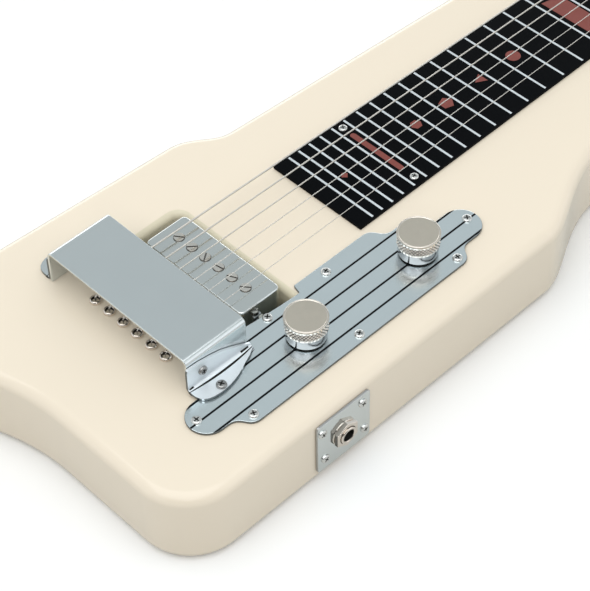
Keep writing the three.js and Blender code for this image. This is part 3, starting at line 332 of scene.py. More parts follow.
def flat_print(outlines, name, material):
    """Printed shapes, a hair thick, on the board."""
    mesh = bmesh.new()
    for outline in outlines:
        face = mesh.faces.new([mesh.verts.new(spot(x, y, board_top)) for x, y in outline])
        drawn_out(mesh, [face], (0, 0, print_height * MM))
    shaped(mesh, name, material)


fret_bars = []
for fret in range(1, 29):
    x = scale_length * 2 ** (-fret / 12)
    reach = board_half(x) - line_inset
    fret_bars.append([
        (x - line_width / 2, -reach), (x + line_width / 2, -reach),
        (x + line_width / 2, reach), (x - line_width / 2, reach),
    ])
flat_print(fret_bars, "fret_lines", line_print)


# The position marks are printed too, in a dull red: four small shapes that come again an octave
# higher, with a large one at the octave, and a bar and a diamond at the body end.
mark_print = surface("mark_print", (0.22, 0.046, 0.034), 0.0, 0.5, 0.05, 0.6, 0.01, tint=0.1)
mark_middle = 0.6


def many_sided(x, y, radius, corners, start=0):
    return arc(x, y, radius, start, start + 360 - 360 / corners, corners - 1)


marks = []
mark_places = [(247.4, 221.4, 196.9, 174.7), (494.9, 440.8, 392.7, 349.8)]
for circle_x, triangle_x, pentagon_x, hexagon_x in mark_places:
    marks.append(many_sided(circle_x, mark_middle, 4.0, 36))
    base = [(triangle_x + 2.9, mark_middle + y) for y in (-3.4, 3.4)]
    marks.append([(triangle_x - 3.1, mark_middle)] + base)
    marks.append(many_sided(pentagon_x, mark_middle, 4.2, 5))
    marks.append(many_sided(hexagon_x, mark_middle, 3.2, 6))
marks.append(round_block(145.4, 148.6, -16.7, 18.9, 1.5, 5))
marks.append(many_sided(123.9, mark_middle, 2.1, 4))
marks.append([(289.1, -16.4), (300.9, -13.8), (300.9, 15.0), (289.1, 17.6)])
flat_print(marks, "position_marks", mark_print)


# The board's screws have low domed heads with a cross for the driver. The two beside the body end
# are in sight, and two like them hold the board beside the nut.
bright_steel = surface("screw_steel", (0.74, 0.74, 0.72), 1.0, 0.2, 0.06, 0.5, 0.01, tint=0.06)
# A dark metal that paints shade into sunk crosses, slots, grooves, holes and gaps.
painted_shade_metal = surface("painted_shade_metal", (0.05, 0.047, 0.043), 1.0, 0.55, 0.1, 0.4, 0.02, tint=0.2)
screw_steel = [bright_steel, painted_shade_metal]


def spin(mesh, profile, steps, closed=False):
    """Turns the profile of [radius, height] points once round z."""
    verts = [mesh.verts.new((r, 0, z)) for r, z in profile]
    pairs = list(zip(verts, verts[1:]))
    if closed:
        pairs.append((verts[-1], verts[0]))
    edges = [mesh.edges.new(pair) for pair in pairs]
    bmesh.ops.spin(
        mesh, geom=verts + edges, cent=(0, 0, 0), axis=(0, 0, 1), angle=2 * math.pi, steps=steps,
        use_merge=True,
    )


def new_rim(mesh, edges):
    """Draws the edges out. Returns the vertices and edges of the new rim, which isn't moved yet."""
    drawn = bmesh.ops.extrude_edge_only(mesh, edges=edges)
    verts = verts_of(drawn)
    new_edges = [e for e in drawn["geom"] if isinstance(e, bmesh.types.BMEdge)]
    return verts, [e for e in new_edges if all(v in verts for v in e.verts)]


def set_at(mesh, place, turn=0):
    """Brings a form made in mm about the origin to its place."""
    matrix = place @ Matrix.Rotation(math.radians(turn), 4, "Z") @ Matrix.Scale(MM, 4)
    bmesh.ops.transform(mesh, matrix=matrix, verts=mesh.verts)
    return mesh


def upright_at(x, y, z):
    return Matrix.Translation(spot(x, y, z))


def cross_screw(name, radius, dome, turn, place, metals=screw_steel):
    """A domed screw head with a cross sunk in it, its foot at the place's origin."""
    mesh = bmesh.new()
    inner = radius * 0.62
    profile = [(radius, 0.0), (radius, dome * 0.25)]
    for k in range(1, 6):
        a = math.radians(15 * k)
        profile.append((inner + (radius - inner) * math.cos(a), dome * (0.25 + 0.75 * math.sin(a))))
    spin(mesh, profile + [(inner, dome)], 28)
    crown = [e for e in mesh.edges if e.is_boundary and min(v.co.z for v in e.verts) > dome * 0.99]
    foot = [e for e in mesh.edges if e.is_boundary and max(v.co.z for v in e.verts) < dome * 0.01]
    arm, half = inner * 0.92, radius * 0.13
    corners = [(arm, -half), (arm, half), (half, half), (half, arm), (-half, arm), (-half, half)]
    corners += [(-x, -y) for x, y in corners]
    sides = rim_of(mesh, [(x, y, dome) for x, y in corners])
    bmesh.ops.triangle_fill(mesh, use_beauty=True, edges=crown + sides)
    deep, sunk = new_rim(mesh, sides)
    bmesh.ops.scale(mesh, verts=deep, vec=(0.55, 0.55, 1))
    bmesh.ops.translate(mesh, verts=deep, vec=(0, 0, -dome * 0.75))
    bmesh.ops.contextual_create(mesh, geom=sunk)
    bmesh.ops.contextual_create(mesh, geom=foot)
    # Shade is painted into the sunk cross: its faces take the dark second material.
    mark(mesh.faces, 1, lambda face, middle: (
        0 < middle.z < dome * 0.98 and math.hypot(*middle.xy) < inner * 0.95
    ))
    shaped(set_at(mesh, place, turn), name, metals)


board_screws = [(146.8, -24.4, 20), (146.8, 24.4, 55), (556.0, -22.5, 5), (556.0, 22.5, 70)]
for number, (x, y, turn) in enumerate(board_screws, 1):
    cross_screw(f"board_screw_{number}", 2.3, 1.2, turn, upright_at(x, y, board_top))


# The bridge cover is one strip of chromed sheet bent down at both ends. It is open towards the tail
# and towards the pickup, and its edges are slightly eased by the polishing.
chrome = surface("chrome", (0.7, 0.745, 0.755), 1.0, 0.21, 0.03, 2.5, 0.003, tint=0.03)
cover_tail, cover_front, cover_top = -21.1, 15.0, 19.8
cover_treble, cover_bass, cover_wall, cover_bend = -45.3, 50.0, 1.2, 3.2
treble_foot, bass_foot = 1.8, 0.3


def across(y, z, x):
    """For outlines drawn in y and z and drawn out along x."""
    return spot(x, y, z)


def cover_line(inset):
    """Over the cover from its bass foot to its treble foot, that far inside its outer face."""
    left, right, high = cover_treble + cover_bend, cover_bass - cover_bend, cover_top - cover_bend
    line = [(cover_bass - inset, bass_foot)] + arc(right, high, cover_bend - inset, 0, 90, 10)
    return line + arc(left, high, cover_bend - inset, 90, 180, 10) + [(cover_treble + inset, treble_foot)]


cover = sheet_metal(cover_line(0) + cover_line(cover_wall)[::-1], cover_tail, cover_front, across)
rims = [e for e in cover.edges if abs(e.verts[0].co.x - e.verts[1].co.x) < 1e-7 and len(e.link_faces) == 2]
ease(cover, rims, 0.3, 3)
shaped(cover, "cover_strip", chrome, ["bridge_cover"], crease=20)


# Two leaves of chromed sheet, folded lengthwise, hold the cover: one half lies flat on the top, the
# other stands against the cover's end wall. A slot at each end of the fold let the sheet bend.
leaf_sheet = 1.2
fold_radius, fold_swell, groove_width, groove_swell, groove_depth = 0.9, 0.9, 0.3, 0.85, 0.35
slot_inset, slot_depth = 0.12, 0.9
foot_screw_x, foot_screw_out, wall_screw_x, wall_screw_up = -9.5, 9.2, -13.2, 9.9
fold_middle, fold_half = -3.2, 19.2
fold_slots = [(-21.6, -19.1), (9.4, 14.2)]
flat_reach = [
    (-22.2, 4.6), (-22.0, 6.4), (-21.4, 8.2), (-20.3, 9.6), (-18.4, 10.8), (-16.0, 11.6), (-12.7, 12.0),
    (-9.5, 12.0), (-6.5, 11.7), (-3.2, 11.0), (0.0, 10.1), (3.5, 8.7), (7.0, 7.1), (11.8, 5.1), (15.0, 3.2),
    (15.9, 2.2),
]
wall_reach = [
    (-22.2, 12.4), (-21.8, 13.7), (-21.0, 14.3), (-18.0, 14.2), (-14.0, 13.8), (-7.0, 12.5), (-1.0, 10.8),
    (4.6, 8.3), (9.5, 5.7), (14.1, 3.2), (15.9, 2.3),
]


def reach_at(table, x):
    for (x0, r0), (x1, r1) in zip(table, table[1:]):
        if x <= x1:
            return r0 + (r1 - r0) * (x - x0) / (x1 - x0)


def leaf_section(x):
    """Across the leaf at x, as [out, up] points: down the wall, round the hollow fold, over the flat."""
    wall, flat = reach_at(wall_reach, x), reach_at(flat_reach, x)
    bulge = max(0.0, 1 - ((x - fold_middle) / fold_half) ** 2)
    fold = min(fold_radius + fold_swell * bulge, wall - leaf_sheet - 0.1)
    root = leaf_sheet + fold
    groove = root + groove_width + groove_swell * bulge
    section = [(leaf_sheet, wall), (leaf_sheet, max(wall * 0.6, root + 0.05))]
    section += arc(root, root, fold, 180, 270, 6)
    groove_z = leaf_sheet - groove_depth
    section += [(root + 0.1, groove_z), (groove, groove_z), (groove + 0.1, leaf_sheet)]
    out = max(flat, groove + 0.3)
    return section + [(max(out * 0.6, groove + 0.2), leaf_sheet), (out, leaf_sheet)]


def folded_leaf(shift, face_y, floor_z, side):
    """One skin along the leaf, thickened to a sheet, with the fold's slots punched and its edges cut. Shade
    is painted into its groove and slots, and as a dark outline on its cut edges.
    """
    mesh = bmesh.new()
    stations = {x for x, r in flat_reach + wall_reach} | {x for slot in fold_slots for x in slot}
    stations = sorted(stations | {-19.6, -17.0, -5.0, 2.0, 9.0, 12.6})
    rows = []
    for x in stations:
        rows.append([
            mesh.verts.new(spot(x + shift, face_y + side * out, floor_z + up)) for out, up in leaf_section(x)
        ])
    for k, (here, there) in enumerate(zip(rows, rows[1:])):
        in_slot = any(start <= stations[k] and stations[k + 1] <= end for start, end in fold_slots)
        for n in range(len(here) - 1):
            face = mesh.faces.new((here[n], here[n + 1], there[n + 1], there[n]))
            # The groove at the fold's root takes painted shade; the faces marked 2 become the slots.
            face.material_index = 1 if 8 <= n <= 10 else 2 if in_slot and 3 <= n <= 5 else 0
    bmesh.ops.recalc_face_normals(mesh, faces=mesh.faces)
    low_face = min(mesh.faces, key=lambda f: f.calc_center_median().z)
    if low_face.normal.z < 0:
        bmesh.ops.reverse_faces(mesh, faces=mesh.faces)
    bmesh.ops.solidify(mesh, geom=list(mesh.faces), thickness=leaf_sheet * MM)
    bmesh.ops.recalc_face_normals(mesh, faces=mesh.faces)
    punched = [f for f in mesh.faces if f.material_index == 2]
    mark(punched, 0)
    punched = [f for f in punched if f.normal.dot(Vector((0, side, 1))) > 0.5]
    walls = bmesh.ops.inset_region(
        mesh, faces=punched, thickness=slot_inset * MM, depth=-slot_depth * MM, use_even_offset=True,
    )["faces"]
    # The sunk slots take painted shade.
    mark(punched + walls, 1)
    # The sheet's cut edges take a dark outline of painted shade.
    low_edge = top_z + (floor_z + leaf_sheet * 0.9) * MM
    for face in mesh.faces:
        across_sheet = [e for e in face.edges if abs(e.calc_length() - leaf_sheet * MM) < 0.1 * MM]
        outer_edge = face.calc_center_median().z < low_edge or abs(face.normal.x) > 0.7
        if face.material_index == 0 and len(across_sheet) == 2 and outer_edge:
            face.material_index = 3
    return mesh


# The treble leaf takes a paler copy of the chrome than the bass leaf: painted light.
leaf_chrome_painted_light = surface("leaf_chrome_painted_light", (0.86, 0.905, 0.935), 1.0, 0.5, 0.05, 1.8, 0.004, tint=0.03)
# A dark outline of painted shade for the edges of the chromed sheets.
painted_edge_shade = surface("painted_edge_shade", (0.16, 0.175, 0.18), 1.0, 0.38, 0.08, 0.6, 0.01, tint=0.1)
dark_steel = surface("dark_steel", (0.36, 0.36, 0.355), 1.0, 0.24, 0.06, 0.5, 0.01, tint=0.06)
leaf_gap = 0.3
leaves = [
    ("treble", leaf_chrome_painted_light, 0, cover_treble - leaf_gap, treble_foot, -1),
    ("bass", chrome, 1.3, cover_bass + leaf_gap, bass_foot, 1),
]
for word, finish, shift, face_y, floor_z, side in leaves:
    leaf = folded_leaf(shift, face_y, floor_z, side)
    metals = [finish, painted_shade_metal, painted_shade_metal, painted_edge_shade]
    shaped(leaf, f"leaf_{word}", metals, [f"cover_bracket_{word}"], crease=20)
    foot = upright_at(shift + foot_screw_x, face_y + side * foot_screw_out, floor_z + leaf_sheet)
    cross_screw(f"leaf_foot_screw_{word}", 2.6, 1.5, 30, foot, [dark_steel, painted_shade_metal])
    wall = upright_at(shift + wall_screw_x, face_y + side * leaf_sheet, wall_screw_up)
    wall = wall @ Matrix.Rotation(side * -math.pi / 2, 4, "X")
    cross_screw(f"leaf_wall_screw_{word}", 2.4, 1.3, 10, wall, [dark_steel, painted_shade_metal])


# Under the cover the strings come up through six turned ferrules. They cross a rod of steel that
# lies on a pressed bridge base. The anchor strip for their ball ends is let into the back.
nickel = surface("nickel", (0.78, 0.71, 0.64), 1.0, 0.13, 0.04, 1.5, 0.004)
steel = surface("steel", (0.5, 0.51, 0.52), 1.0, 0.3, 0.07, 0.8, 0.008, stretch=(1, 6, 1), tint=0.05)
string_middle, ferrule_pitch, ferrule_x = 1.2, 9.7, -14.5


def string_side(number, pitch):
    """How far across that string lies where the six have that pitch. It is a little to the bass side."""
    return string_middle + (number - 3.5) * pitch


def turned(profile, steps):
    """A form turned about z, from [radius, height] points in mm. A bored one's profile is closed."""
    mesh = bmesh.new()
    spin(mesh, profile, steps, closed=profile[0][0] > 0)
    bmesh.ops.remove_doubles(mesh, verts=mesh.verts, dist=1e-5)
    return mesh


def spun(profile, place, steps=40):
    return set_at(turned(profile, steps), place)


for number in range(1, 7):
    y = string_side(number, ferrule_pitch)
    ferrule = spun([
        (1.75, -6.0), (2.1, -6.0), (2.1, 0.3), (3.0, 0.3), (3.0, 0.7), (2.95, 1.1), (2.8, 1.45), (2.6, 1.7),
        (2.4, 1.8), (2.15, 1.75), (1.95, 1.55), (1.8, 1.2), (1.75, 0.8),
    ], upright_at(ferrule_x, y, 0))
    # Shade is painted inside the ferrule's mouth: its inner faces take the dark second material.
    mouth = spot(ferrule_x, y, 1.62)
    mark(ferrule.faces, 1, lambda face, middle: (
        math.hypot(*(middle - mouth).xy) < 1.97 * MM and middle.z < mouth.z
    ))
    shaped(ferrule, f"ferrule_{number}", [nickel, painted_shade_metal], [f"string_ferrule_{number}"])


def carried(material, *names):
    """CAD nodes whose shape is right keep it and take a finished material."""
    for name in names:
        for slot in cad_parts[name].material_slots:
            slot.material = material


carried(nickel, "bridge_base", "string_anchor", "nut")
carried(steel, "bridge_saddle")


# The pickup is a pressed, chromed cover over a coil. Six pole screws stand out of it, and a sprung
# steel cradle under it is held by a slotted screw in an ear at each end.
pickup_chrome = surface("pickup_chrome", (0.68, 0.715, 0.71), 1.0, 0.15, 0.04, 2.0, 0.004, tint=0.03)
pole_nickel = surface("pole_nickel", (0.74, 0.71, 0.66), 1.0, 0.2, 0.06, 0.7, 0.008, tint=0.06)
# A dark metal that paints shade into the pole screws' slots and round their feet.
slot_painted_shade = surface("slot_painted_shade", (0.2, 0.19, 0.18), 1.0, 0.4, 0.1, 0.4, 0.02, tint=0.2)
coil_black = surface("coil_black", (0.02, 0.02, 0.022), 0.0, 0.5, 0.08, 0.9, 0.02)
pickup_x, pickup_low, pickup_top = 36.6, -12.4, 5.6
case_tail, case_nut, case_sheet = 13.2, 12.0, 0.8
pickup_ends = (-32.45, 33.45)
pole_pitch, pole_lift = 9.15, 0.1

case = sheet_metal(
    round_block(pickup_x - case_tail, pickup_x + case_nut, *pickup_ends, 2.6), pickup_low, pickup_top,
)
ease(case, edges_at(case, pickup_top), 0.9, 5)
open_face = min(case.faces, key=lambda f: f.calc_center_median().z)
bmesh.ops.delete(case, geom=[open_face], context="FACES")
bmesh.ops.solidify(case, geom=list(case.faces), thickness=case_sheet * MM)
shaped(case, "pickup_case", pickup_chrome, ["pickup_cover"], crease=40)


def round_bar(mesh, radius, sides, height):
    """Adds a round bar that stands on the origin and returns its far vertices."""
    ring = bmesh.ops.create_circle(mesh, cap_ends=True, radius=radius, segments=sides)["verts"]
    return drawn_out(mesh, list({f for v in ring for f in v.link_faces}), (0, 0, height))


def slotted_head(turn, place, radius, low, deep, rim, shank, reach):
    """A flat screw head with a slot across it, on a shank that reaches down. Shade is painted into the slot
    and onto a thin dark ring round the head's foot.
    """
    seam, seam_height = 0.3, 0.06
    mesh = bmesh.new()
    round_bar(mesh, radius, 40, low)
    half = radius * 0.15
    for side in (-half, half):
        whole = mesh.verts[:] + mesh.edges[:] + mesh.faces[:]
        bmesh.ops.bisect_plane(mesh, geom=whole, plane_co=(0, side, 0), plane_no=(0, 1, 0))
    crowns = [
        f for f in mesh.faces
        if f.calc_center_median().z > low * 0.99 and abs(f.calc_center_median().y) > half
    ]
    for crown in crowns:
        drawn_out(mesh, [crown], (0, 0, deep))
    bmesh.ops.delete(mesh, geom=[f for f in crowns if f.is_valid], context="FACES_ONLY")
    ease(mesh, [e for e in mesh.edges if min(v.co.z for v in e.verts) > low + deep * 0.99], rim, 3, unit=1)
    # The slot and the thin ring round the foot take the second material: painted shade.
    mark(mesh.faces, 1, lambda face, middle: middle.z > low * 0.99 and abs(middle.y) < half * 1.01)
    seam_top = round_bar(mesh, radius + seam, 40, seam_height)
    mark({f for v in seam_top for f in v.link_faces}, 1)
    round_bar(mesh, shank, 20, -reach)
    return set_at(mesh, place, turn)


for number, turn in enumerate([128, 115, 100, 35, 140, 125], 1):
    above = upright_at(pickup_x, string_side(number, pole_pitch), pickup_top + pole_lift)
    pole = slotted_head(turn, above, radius=2.6, low=0.12, deep=0.38, rim=0.32, shank=1.3, reach=13.3)
    shaped(pole, f"pole_{number}", [pole_nickel, slot_painted_shade], [f"pole_screw_{number}"])

ear_top, ear_x, ear_out, ear_reach, ear_width = -3.6, 34.2, 2.95, 5.2, 4.6
cradle_low, cradle_gap, cradle_sheet = -12.7, 0.3, 0.8
ears = [("treble", pickup_ends[0], -1, 40), ("bass", pickup_ends[1], 1, 110)]
for word, end, side, turn in ears:
    above = upright_at(ear_x, end + side * ear_out, ear_top + cradle_gap)
    ear_screw = slotted_head(turn, above, radius=1.9, low=0.8, deep=0.7, rim=0.3, shank=0.8, reach=28)
    shaped(ear_screw, f"height_screw_{word}", [pole_nickel, painted_shade_metal], [f"pickup_screw_{word}"])

cradle = bmesh.new()
near, far = pickup_ends[0] - cradle_gap, pickup_ends[1] + cradle_gap
strip = [(pickup_ends[0] - ear_reach, ear_top), (near, ear_top), (near, cradle_low)]
strip += [(far, cradle_low), (far, ear_top), (pickup_ends[1] + ear_reach, ear_top)]
verts = [cradle.verts.new(spot(ear_x - ear_width / 2, y, z)) for y, z in strip]
edges = [cradle.edges.new(pair) for pair in zip(verts, verts[1:])]
bmesh.ops.translate(cradle, verts=new_rim(cradle, edges)[0], vec=(ear_width * MM, 0, 0))
ease(cradle, [e for e in cradle.edges if len(e.link_faces) == 2], 0.7, 3)
bmesh.ops.recalc_face_normals(cradle, faces=cradle.faces)
level_face = max(cradle.faces, key=lambda f: f.calc_area())
if level_face.normal.z < 0:
    bmesh.ops.reverse_faces(cradle, faces=cradle.faces)
bmesh.ops.solidify(cradle, geom=list(cradle.faces), thickness=cradle_sheet * MM)
shaped(cradle, "cradle_strip", steel, ["pickup_cradle"])
carried(coil_black, "pickup_coil")


def wire(points, radius, sides):
    """A round wire along the points, in metres."""
    mesh = bmesh.new()
    heading = (points[1] - points[0]).normalized()
    start = Matrix.Translation(points[0]) @ heading.to_track_quat("Z", "Y").to_matrix().to_4x4()
    disc = bmesh.ops.create_circle(mesh, cap_ends=True, radius=radius * MM, segments=sides, matrix=start)
    edges = list({e for v in disc["verts"] for e in v.link_edges})
    for k in range(1, len(points)):
        ahead = (points[min(k + 1, len(points) - 1)] - points[k - 1]).normalized()
        turn = heading.rotation_difference(ahead).to_matrix().to_4x4()
        verts, edges = new_rim(mesh, edges)
        move = Matrix.Translation(points[k]) @ turn @ Matrix.Translation(-points[k - 1])
        bmesh.ops.transform(mesh, matrix=move, verts=verts)
        heading = ahead
    bmesh.ops.contextual_create(mesh, geom=edges)
    return mesh


spring_low, spring_high = -26.5, ear_top - cradle_sheet - 0.5
spring_radius, spring_wire = 1.3, 0.2
coils, cuts = 4, 24
for word, end, side, turn in ears:
    coil_path = []
    for k in range(coils * cuts + 1):
        a = 2 * math.pi * k / cuts
        coil_path.append(spot(
            ear_x + spring_radius * math.cos(a), end + side * ear_out + spring_radius * math.sin(a),
            spring_low + (spring_high - spring_low) * k / (coils * cuts),
        ))
    coil = wire(coil_path, spring_wire, 10)
    shaped(coil, f"height_spring_{word}", steel, [f"pickup_spring_{word}"])


# The control plate is stamped from chromed sheet: its edges step in and out between four engraved
# stripes filled with black, with round tongues at both ends. Seven domed screws hold it down.
plate_chrome = surface("plate_chrome", (0.74, 0.815, 0.84), 1.0, 0.22, 0.04, 3.0, 0.003, tint=0.03)
stripe_paint = surface("stripe_paint", (0.006, 0.008, 0.009), 0.0, 0.5, 0.08, 0.5, 0.02, specular=0.1)
plate_low, plate_top = 0.3, 1.5
tongue_y, tongue_half, step_run = -62.1, 10.1, 13.0
plate_tail, plate_nut, plate_treble, plate_bass = -35.0, 149.6, -80.1, -41.6
pickup_side, tail_side = -33.6, -34.9
stripe_rows, stripe_half, stripe_depth = [-43.5, -52.8, -62.1, -71.4], 0.55, 0.32


def step(x, from_y, to_y, direction):
    reach = direction * step_run / 2
    ease_in = reach * 0.23
    return bend([(x - reach, from_y), (x + ease_in, from_y), (x - ease_in, to_y), (x + reach, to_y)], 16)


plate_edge = step(-15.5, tongue_y - tongue_half, plate_treble, 1)
plate_edge += step(127.5, plate_treble, tongue_y - tongue_half, 1)
plate_edge += arc(plate_nut - tongue_half, tongue_y, tongue_half, -90, 90, 24)
plate_edge += step(125.5, tongue_y + tongue_half, plate_bass, -1)
plate_edge += step(107.5, plate_bass, pickup_side, -1)
plate_edge += [(56.4, pickup_side), (56.0, -33.7), (55.75, -34.0), (54.7, -38.2), (54.5, -38.5)]
plate_edge += bend([(54.0, -38.7), (36.0, -38.1), (13.0, tail_side)], 16)
plate_edge += step(-12.5, tail_side, tongue_y + tongue_half, -1)
plate_edge += arc(plate_tail + tongue_half, tongue_y, tongue_half, 90, 270, 24)

plate = sheet_metal(plate_edge, plate_low, plate_top)
ease(plate, edges_at(plate, plate_top), 0.3, 3)
bmesh.ops.triangulate(plate, faces=[f for f in plate.faces if len(f.verts) > 4])
for row in stripe_rows:
    for edge_y in (row - stripe_half, row + stripe_half):
        whole = plate.verts[:] + plate.edges[:] + plate.faces[:]
        bmesh.ops.bisect_plane(plate, geom=whole, plane_co=spot(0, edge_y, 0), plane_no=(0, 1, 0), dist=1e-7)


def engraved(face, middle):
    y = (middle.y - centre_y) / MM
    in_stripe = any(abs(y - row) < stripe_half for row in stripe_rows)
    return in_stripe and middle.z > top_z + (plate_top - stripe_depth) * MM


mark(plate.faces, 1, engraved)
# The plate's edges and their eased rounds take a dark outline of painted shade.
mark(plate.faces, 2, lambda face, middle: abs(face.normal.z) < 0.85)
shaped(plate, "plate_sheet", [plate_chrome, stripe_paint, painted_edge_shade], ["control_plate"], crease=12)

plate_screws = [
    (72.2, -38.4, 15), (144.1, -61.6, 50), (121.9, -75.9, 80), (55.8, -76.4, 30), (-10.1, -76.0, 65),
    (-30.2, -60.9, 5), (33.2, -39.6, 40),
]
for number, (x, y, turn) in enumerate(plate_screws, 1):
    cross_screw(f"plate_screw_{number}", 2.5, 1.2, turn, upright_at(x, y, plate_top))


# The two knobs are turned from brass and plated: a rim, a groove, a diamond knurl for the fingers
# and a smooth skirt. Their tops are brushed. Each sits on the shaft of its potentiometer.
knob_metal = surface("knob_metal", (0.72, 0.67, 0.6), 1.0, 0.16, 0.06, 0.5, 0.008, tint=0.05)
brushed_top = surface(
    "brushed_top", (0.67, 0.61, 0.52), 1.0, 0.3, 0.07, 0.6, 0.012, stretch=(1, 14, 1), tint=0.06,
)
brass = surface("brass", (0.6, 0.44, 0.2), 1.0, 0.3, 0.06, 0.9, 0.008)
pot_steel = surface("pot_steel", (0.45, 0.46, 0.46), 1.0, 0.38, 0.08, 1.1, 0.01)
# The skirt takes a darker, greyer copy of the knob's plated metal: painted shade.
skirt_metal_painted_shade = surface("skirt_metal_painted_shade", (0.45, 0.45, 0.455), 1.0, 0.2, 0.06, 0.5, 0.008, tint=0.05)
knurl_metal = surface("knurl_metal", (0.92, 0.86, 0.8), 1.0, 0.2, 0.05, 0.5, 0.006, tint=0.05)
knob_y = -59.9
knurl_count, knurl_rows = 72, 6
knurl_low, knurl_high, knurl_radius = 8.05, 14.05, 10.2
top_radius, knob_top, skirt_bore, knurl_floor = 9.5, 14.98, 9.0, 9.6
proud_share, sunk_share = 1.024, 0.978

# Shade is painted into the hollows of the knurl: its colour darkens toward near black where the vertex
# attribute is 0.
knurl_tree = knurl_metal.node_tree
knurl_shader = knurl_tree.nodes["Principled BSDF"]
unshaded = node(knurl_tree, "Attribute")
unshaded.attribute_name = "unshaded"
reach = node(knurl_tree, "MapRange", {"Value": unshaded.outputs["Fac"], "From Min": 0.06, "From Max": 0.36})
knurl_painted_shade = node(knurl_tree, "Mix", {
    "Factor": reach.outputs["Result"], "A": (0.07, 0.06, 0.05, 1),
    "B": knurl_shader.inputs["Base Color"].links[0].from_socket,
})
feed(knurl_tree, knurl_shader, {"Base Color": knurl_painted_shade.outputs["Result"]})


def turned_knob(x):
    skirt = [
        (0.0, 7.8), (7.0, 7.8), (7.0, 2.5), (9.3, 2.5), (9.6, 2.75), (9.75, 3.8), (9.85, 6.0), (9.9, 7.7),
        (10.1, 7.95),
    ]
    pitch = (knurl_high - knurl_low) / knurl_rows
    knurl = [(knurl_radius, knurl_low + pitch * k) for k in range(knurl_rows + 1)]
    rim = [
        (9.95, 14.1), (9.95, 14.35), (10.35, 14.4), (10.5, 14.6), (10.5, 14.8), (10.4, 15.05), (10.2, 15.2),
        (9.9, 15.22), (9.65, 15.15), (top_radius, knob_top), (0.0, knob_top),
    ]
    mesh = turned(skirt + knurl + rim, knurl_count)
    hollows = []
    unshaded_layer = mesh.verts.layers.float.new("unshaded")
    for vert in mesh.verts:
        vert[unshaded_layer] = 1.0
        row = round((vert.co.z - knurl_low) / pitch)
        if 0 < row < knurl_rows and abs(math.hypot(*vert.co.xy) - knurl_radius) < 0.01:
            column = round(math.atan2(vert.co.y, vert.co.x) / (2 * math.pi) * knurl_count)
            proud = (row + column) % 2
            shift = proud_share if proud else sunk_share
            vert.co.x *= shift
            vert.co.y *= shift
            # Hollow points get 0 in the attribute, where shade is painted.
            if not proud:
                hollows.append(vert)
                vert[unshaded_layer] = 0.0
    bmesh.ops.connect_verts(mesh, verts=hollows)
    for edge in mesh.edges:
        middle = (edge.verts[0].co + edge.verts[1].co) / 2
        if knurl_low - 0.01 < middle.z < knurl_high + 0.01 and math.hypot(*middle.xy) > knurl_floor:
            edge.smooth = False
    for face in mesh.faces:
        middle = face.calc_center_median()
        out = math.hypot(*middle.xy)
        if middle.z > knob_top - 0.03 and out < top_radius:
            face.material_index = 1
        elif knurl_low < middle.z < knurl_high and out > knurl_floor:
            face.material_index = 2
        elif middle.z < knurl_low and out > skirt_bore:
            face.material_index = 3
    return set_at(mesh, upright_at(x, knob_y, 0))


def hex_ring(place, half, bore, low, high):
    """A hexagonal nut with its outer corners turned off."""
    mesh = bmesh.new()
    rims = []
    for outline in (many_sided(0, 0, half / math.cos(math.pi / 6), 6, 30), many_sided(0, 0, bore, 36)):
        rims += rim_of(mesh, [(x, y, low) for x, y in outline])
    bmesh.ops.triangle_fill(mesh, use_beauty=True, edges=rims)
    drawn_out(mesh, list(mesh.faces), (0, 0, high - low))
    corners = [
        e for e in mesh.edges
        if all(abs(v.co.z - high) < 1e-6 and math.hypot(*v.co.xy) > bore * 1.05 for v in e.verts)
        and len({f.normal.z > 0.5 for f in e.link_faces}) == 2
    ]
    bmesh.ops.recalc_face_normals(mesh, faces=mesh.faces)
    ease(mesh, corners, (high - low) * 0.18, 3, unit=1)
    return set_at(mesh, place)


for word, x in [("volume", 38.3), ("tone", 111.9)]:
    middle, control = upright_at(x, knob_y, 0), f"{word}_control"
    metals = [knob_metal, brushed_top, knurl_metal, skirt_metal_painted_shade]
    shaped(turned_knob(x), f"{word}_knob", metals, [f"knob_{word}"], crease=35, body=control)
    shaft = spun([(0.0, -6.7), (3.0, -6.7), (3.0, 12.9), (2.7, 13.2), (0.0, 13.2)], middle)
    shaped(shaft, f"{word}_shaft", brass, [f"shaft_{word}"], body=control)
    pot = spun([
        (0.0, -10.0), (9.0, -10.0), (9.6, -9.8), (9.9, -9.4), (10.0, -9.0), (10.0, -0.2), (9.8, 0.0),
        (4.7, 0.0), (4.7, 6.2), (4.4, 6.5), (3.3, 6.5), (3.3, -7.0), (0.0, -7.0),
    ], middle, 48)
    shaped(pot, f"{word}_pot", pot_steel, [f"pot_{word}"])
    pot_nut = hex_ring(middle, half=5.8, bore=4.75, low=1.6, high=3.8)
    shaped(pot_nut, f"{word}_pot_nut", nickel)
carried(surface("brown_plastic", (0.22, 0.075, 0.03), 0.0, 0.35, 0.06, 0.7, 0.02), "tone_capacitor")


# The jack sits in the treble side: a chromed plate with four screws, and the socket's barrel through
# it, held by a washer and a hexagonal nut. The socket behind the plate is turned brass, plated.
jack_chrome = surface("jack_chrome", (0.72, 0.76, 0.76), 1.0, 0.11, 0.04, 2.2, 0.003, tint=0.03)
jack_x, jack_z, jack_face, jack_sheet = 23.95, -21.55, -96.9, 1.2
plate_face = jack_face - jack_sheet
plate_sides = (7.3, 40.6, -37.3, -5.8)


def beside(x, y, z):
    """A place on the treble side whose own z points out of the side."""
    return upright_at(x, y, z) @ Matrix.Rotation(math.pi / 2, 4, "X")


def upright_sheet(x, z, y):
    """For outlines drawn in x and z and drawn out towards the treble side."""
    return spot(x, -y, z)


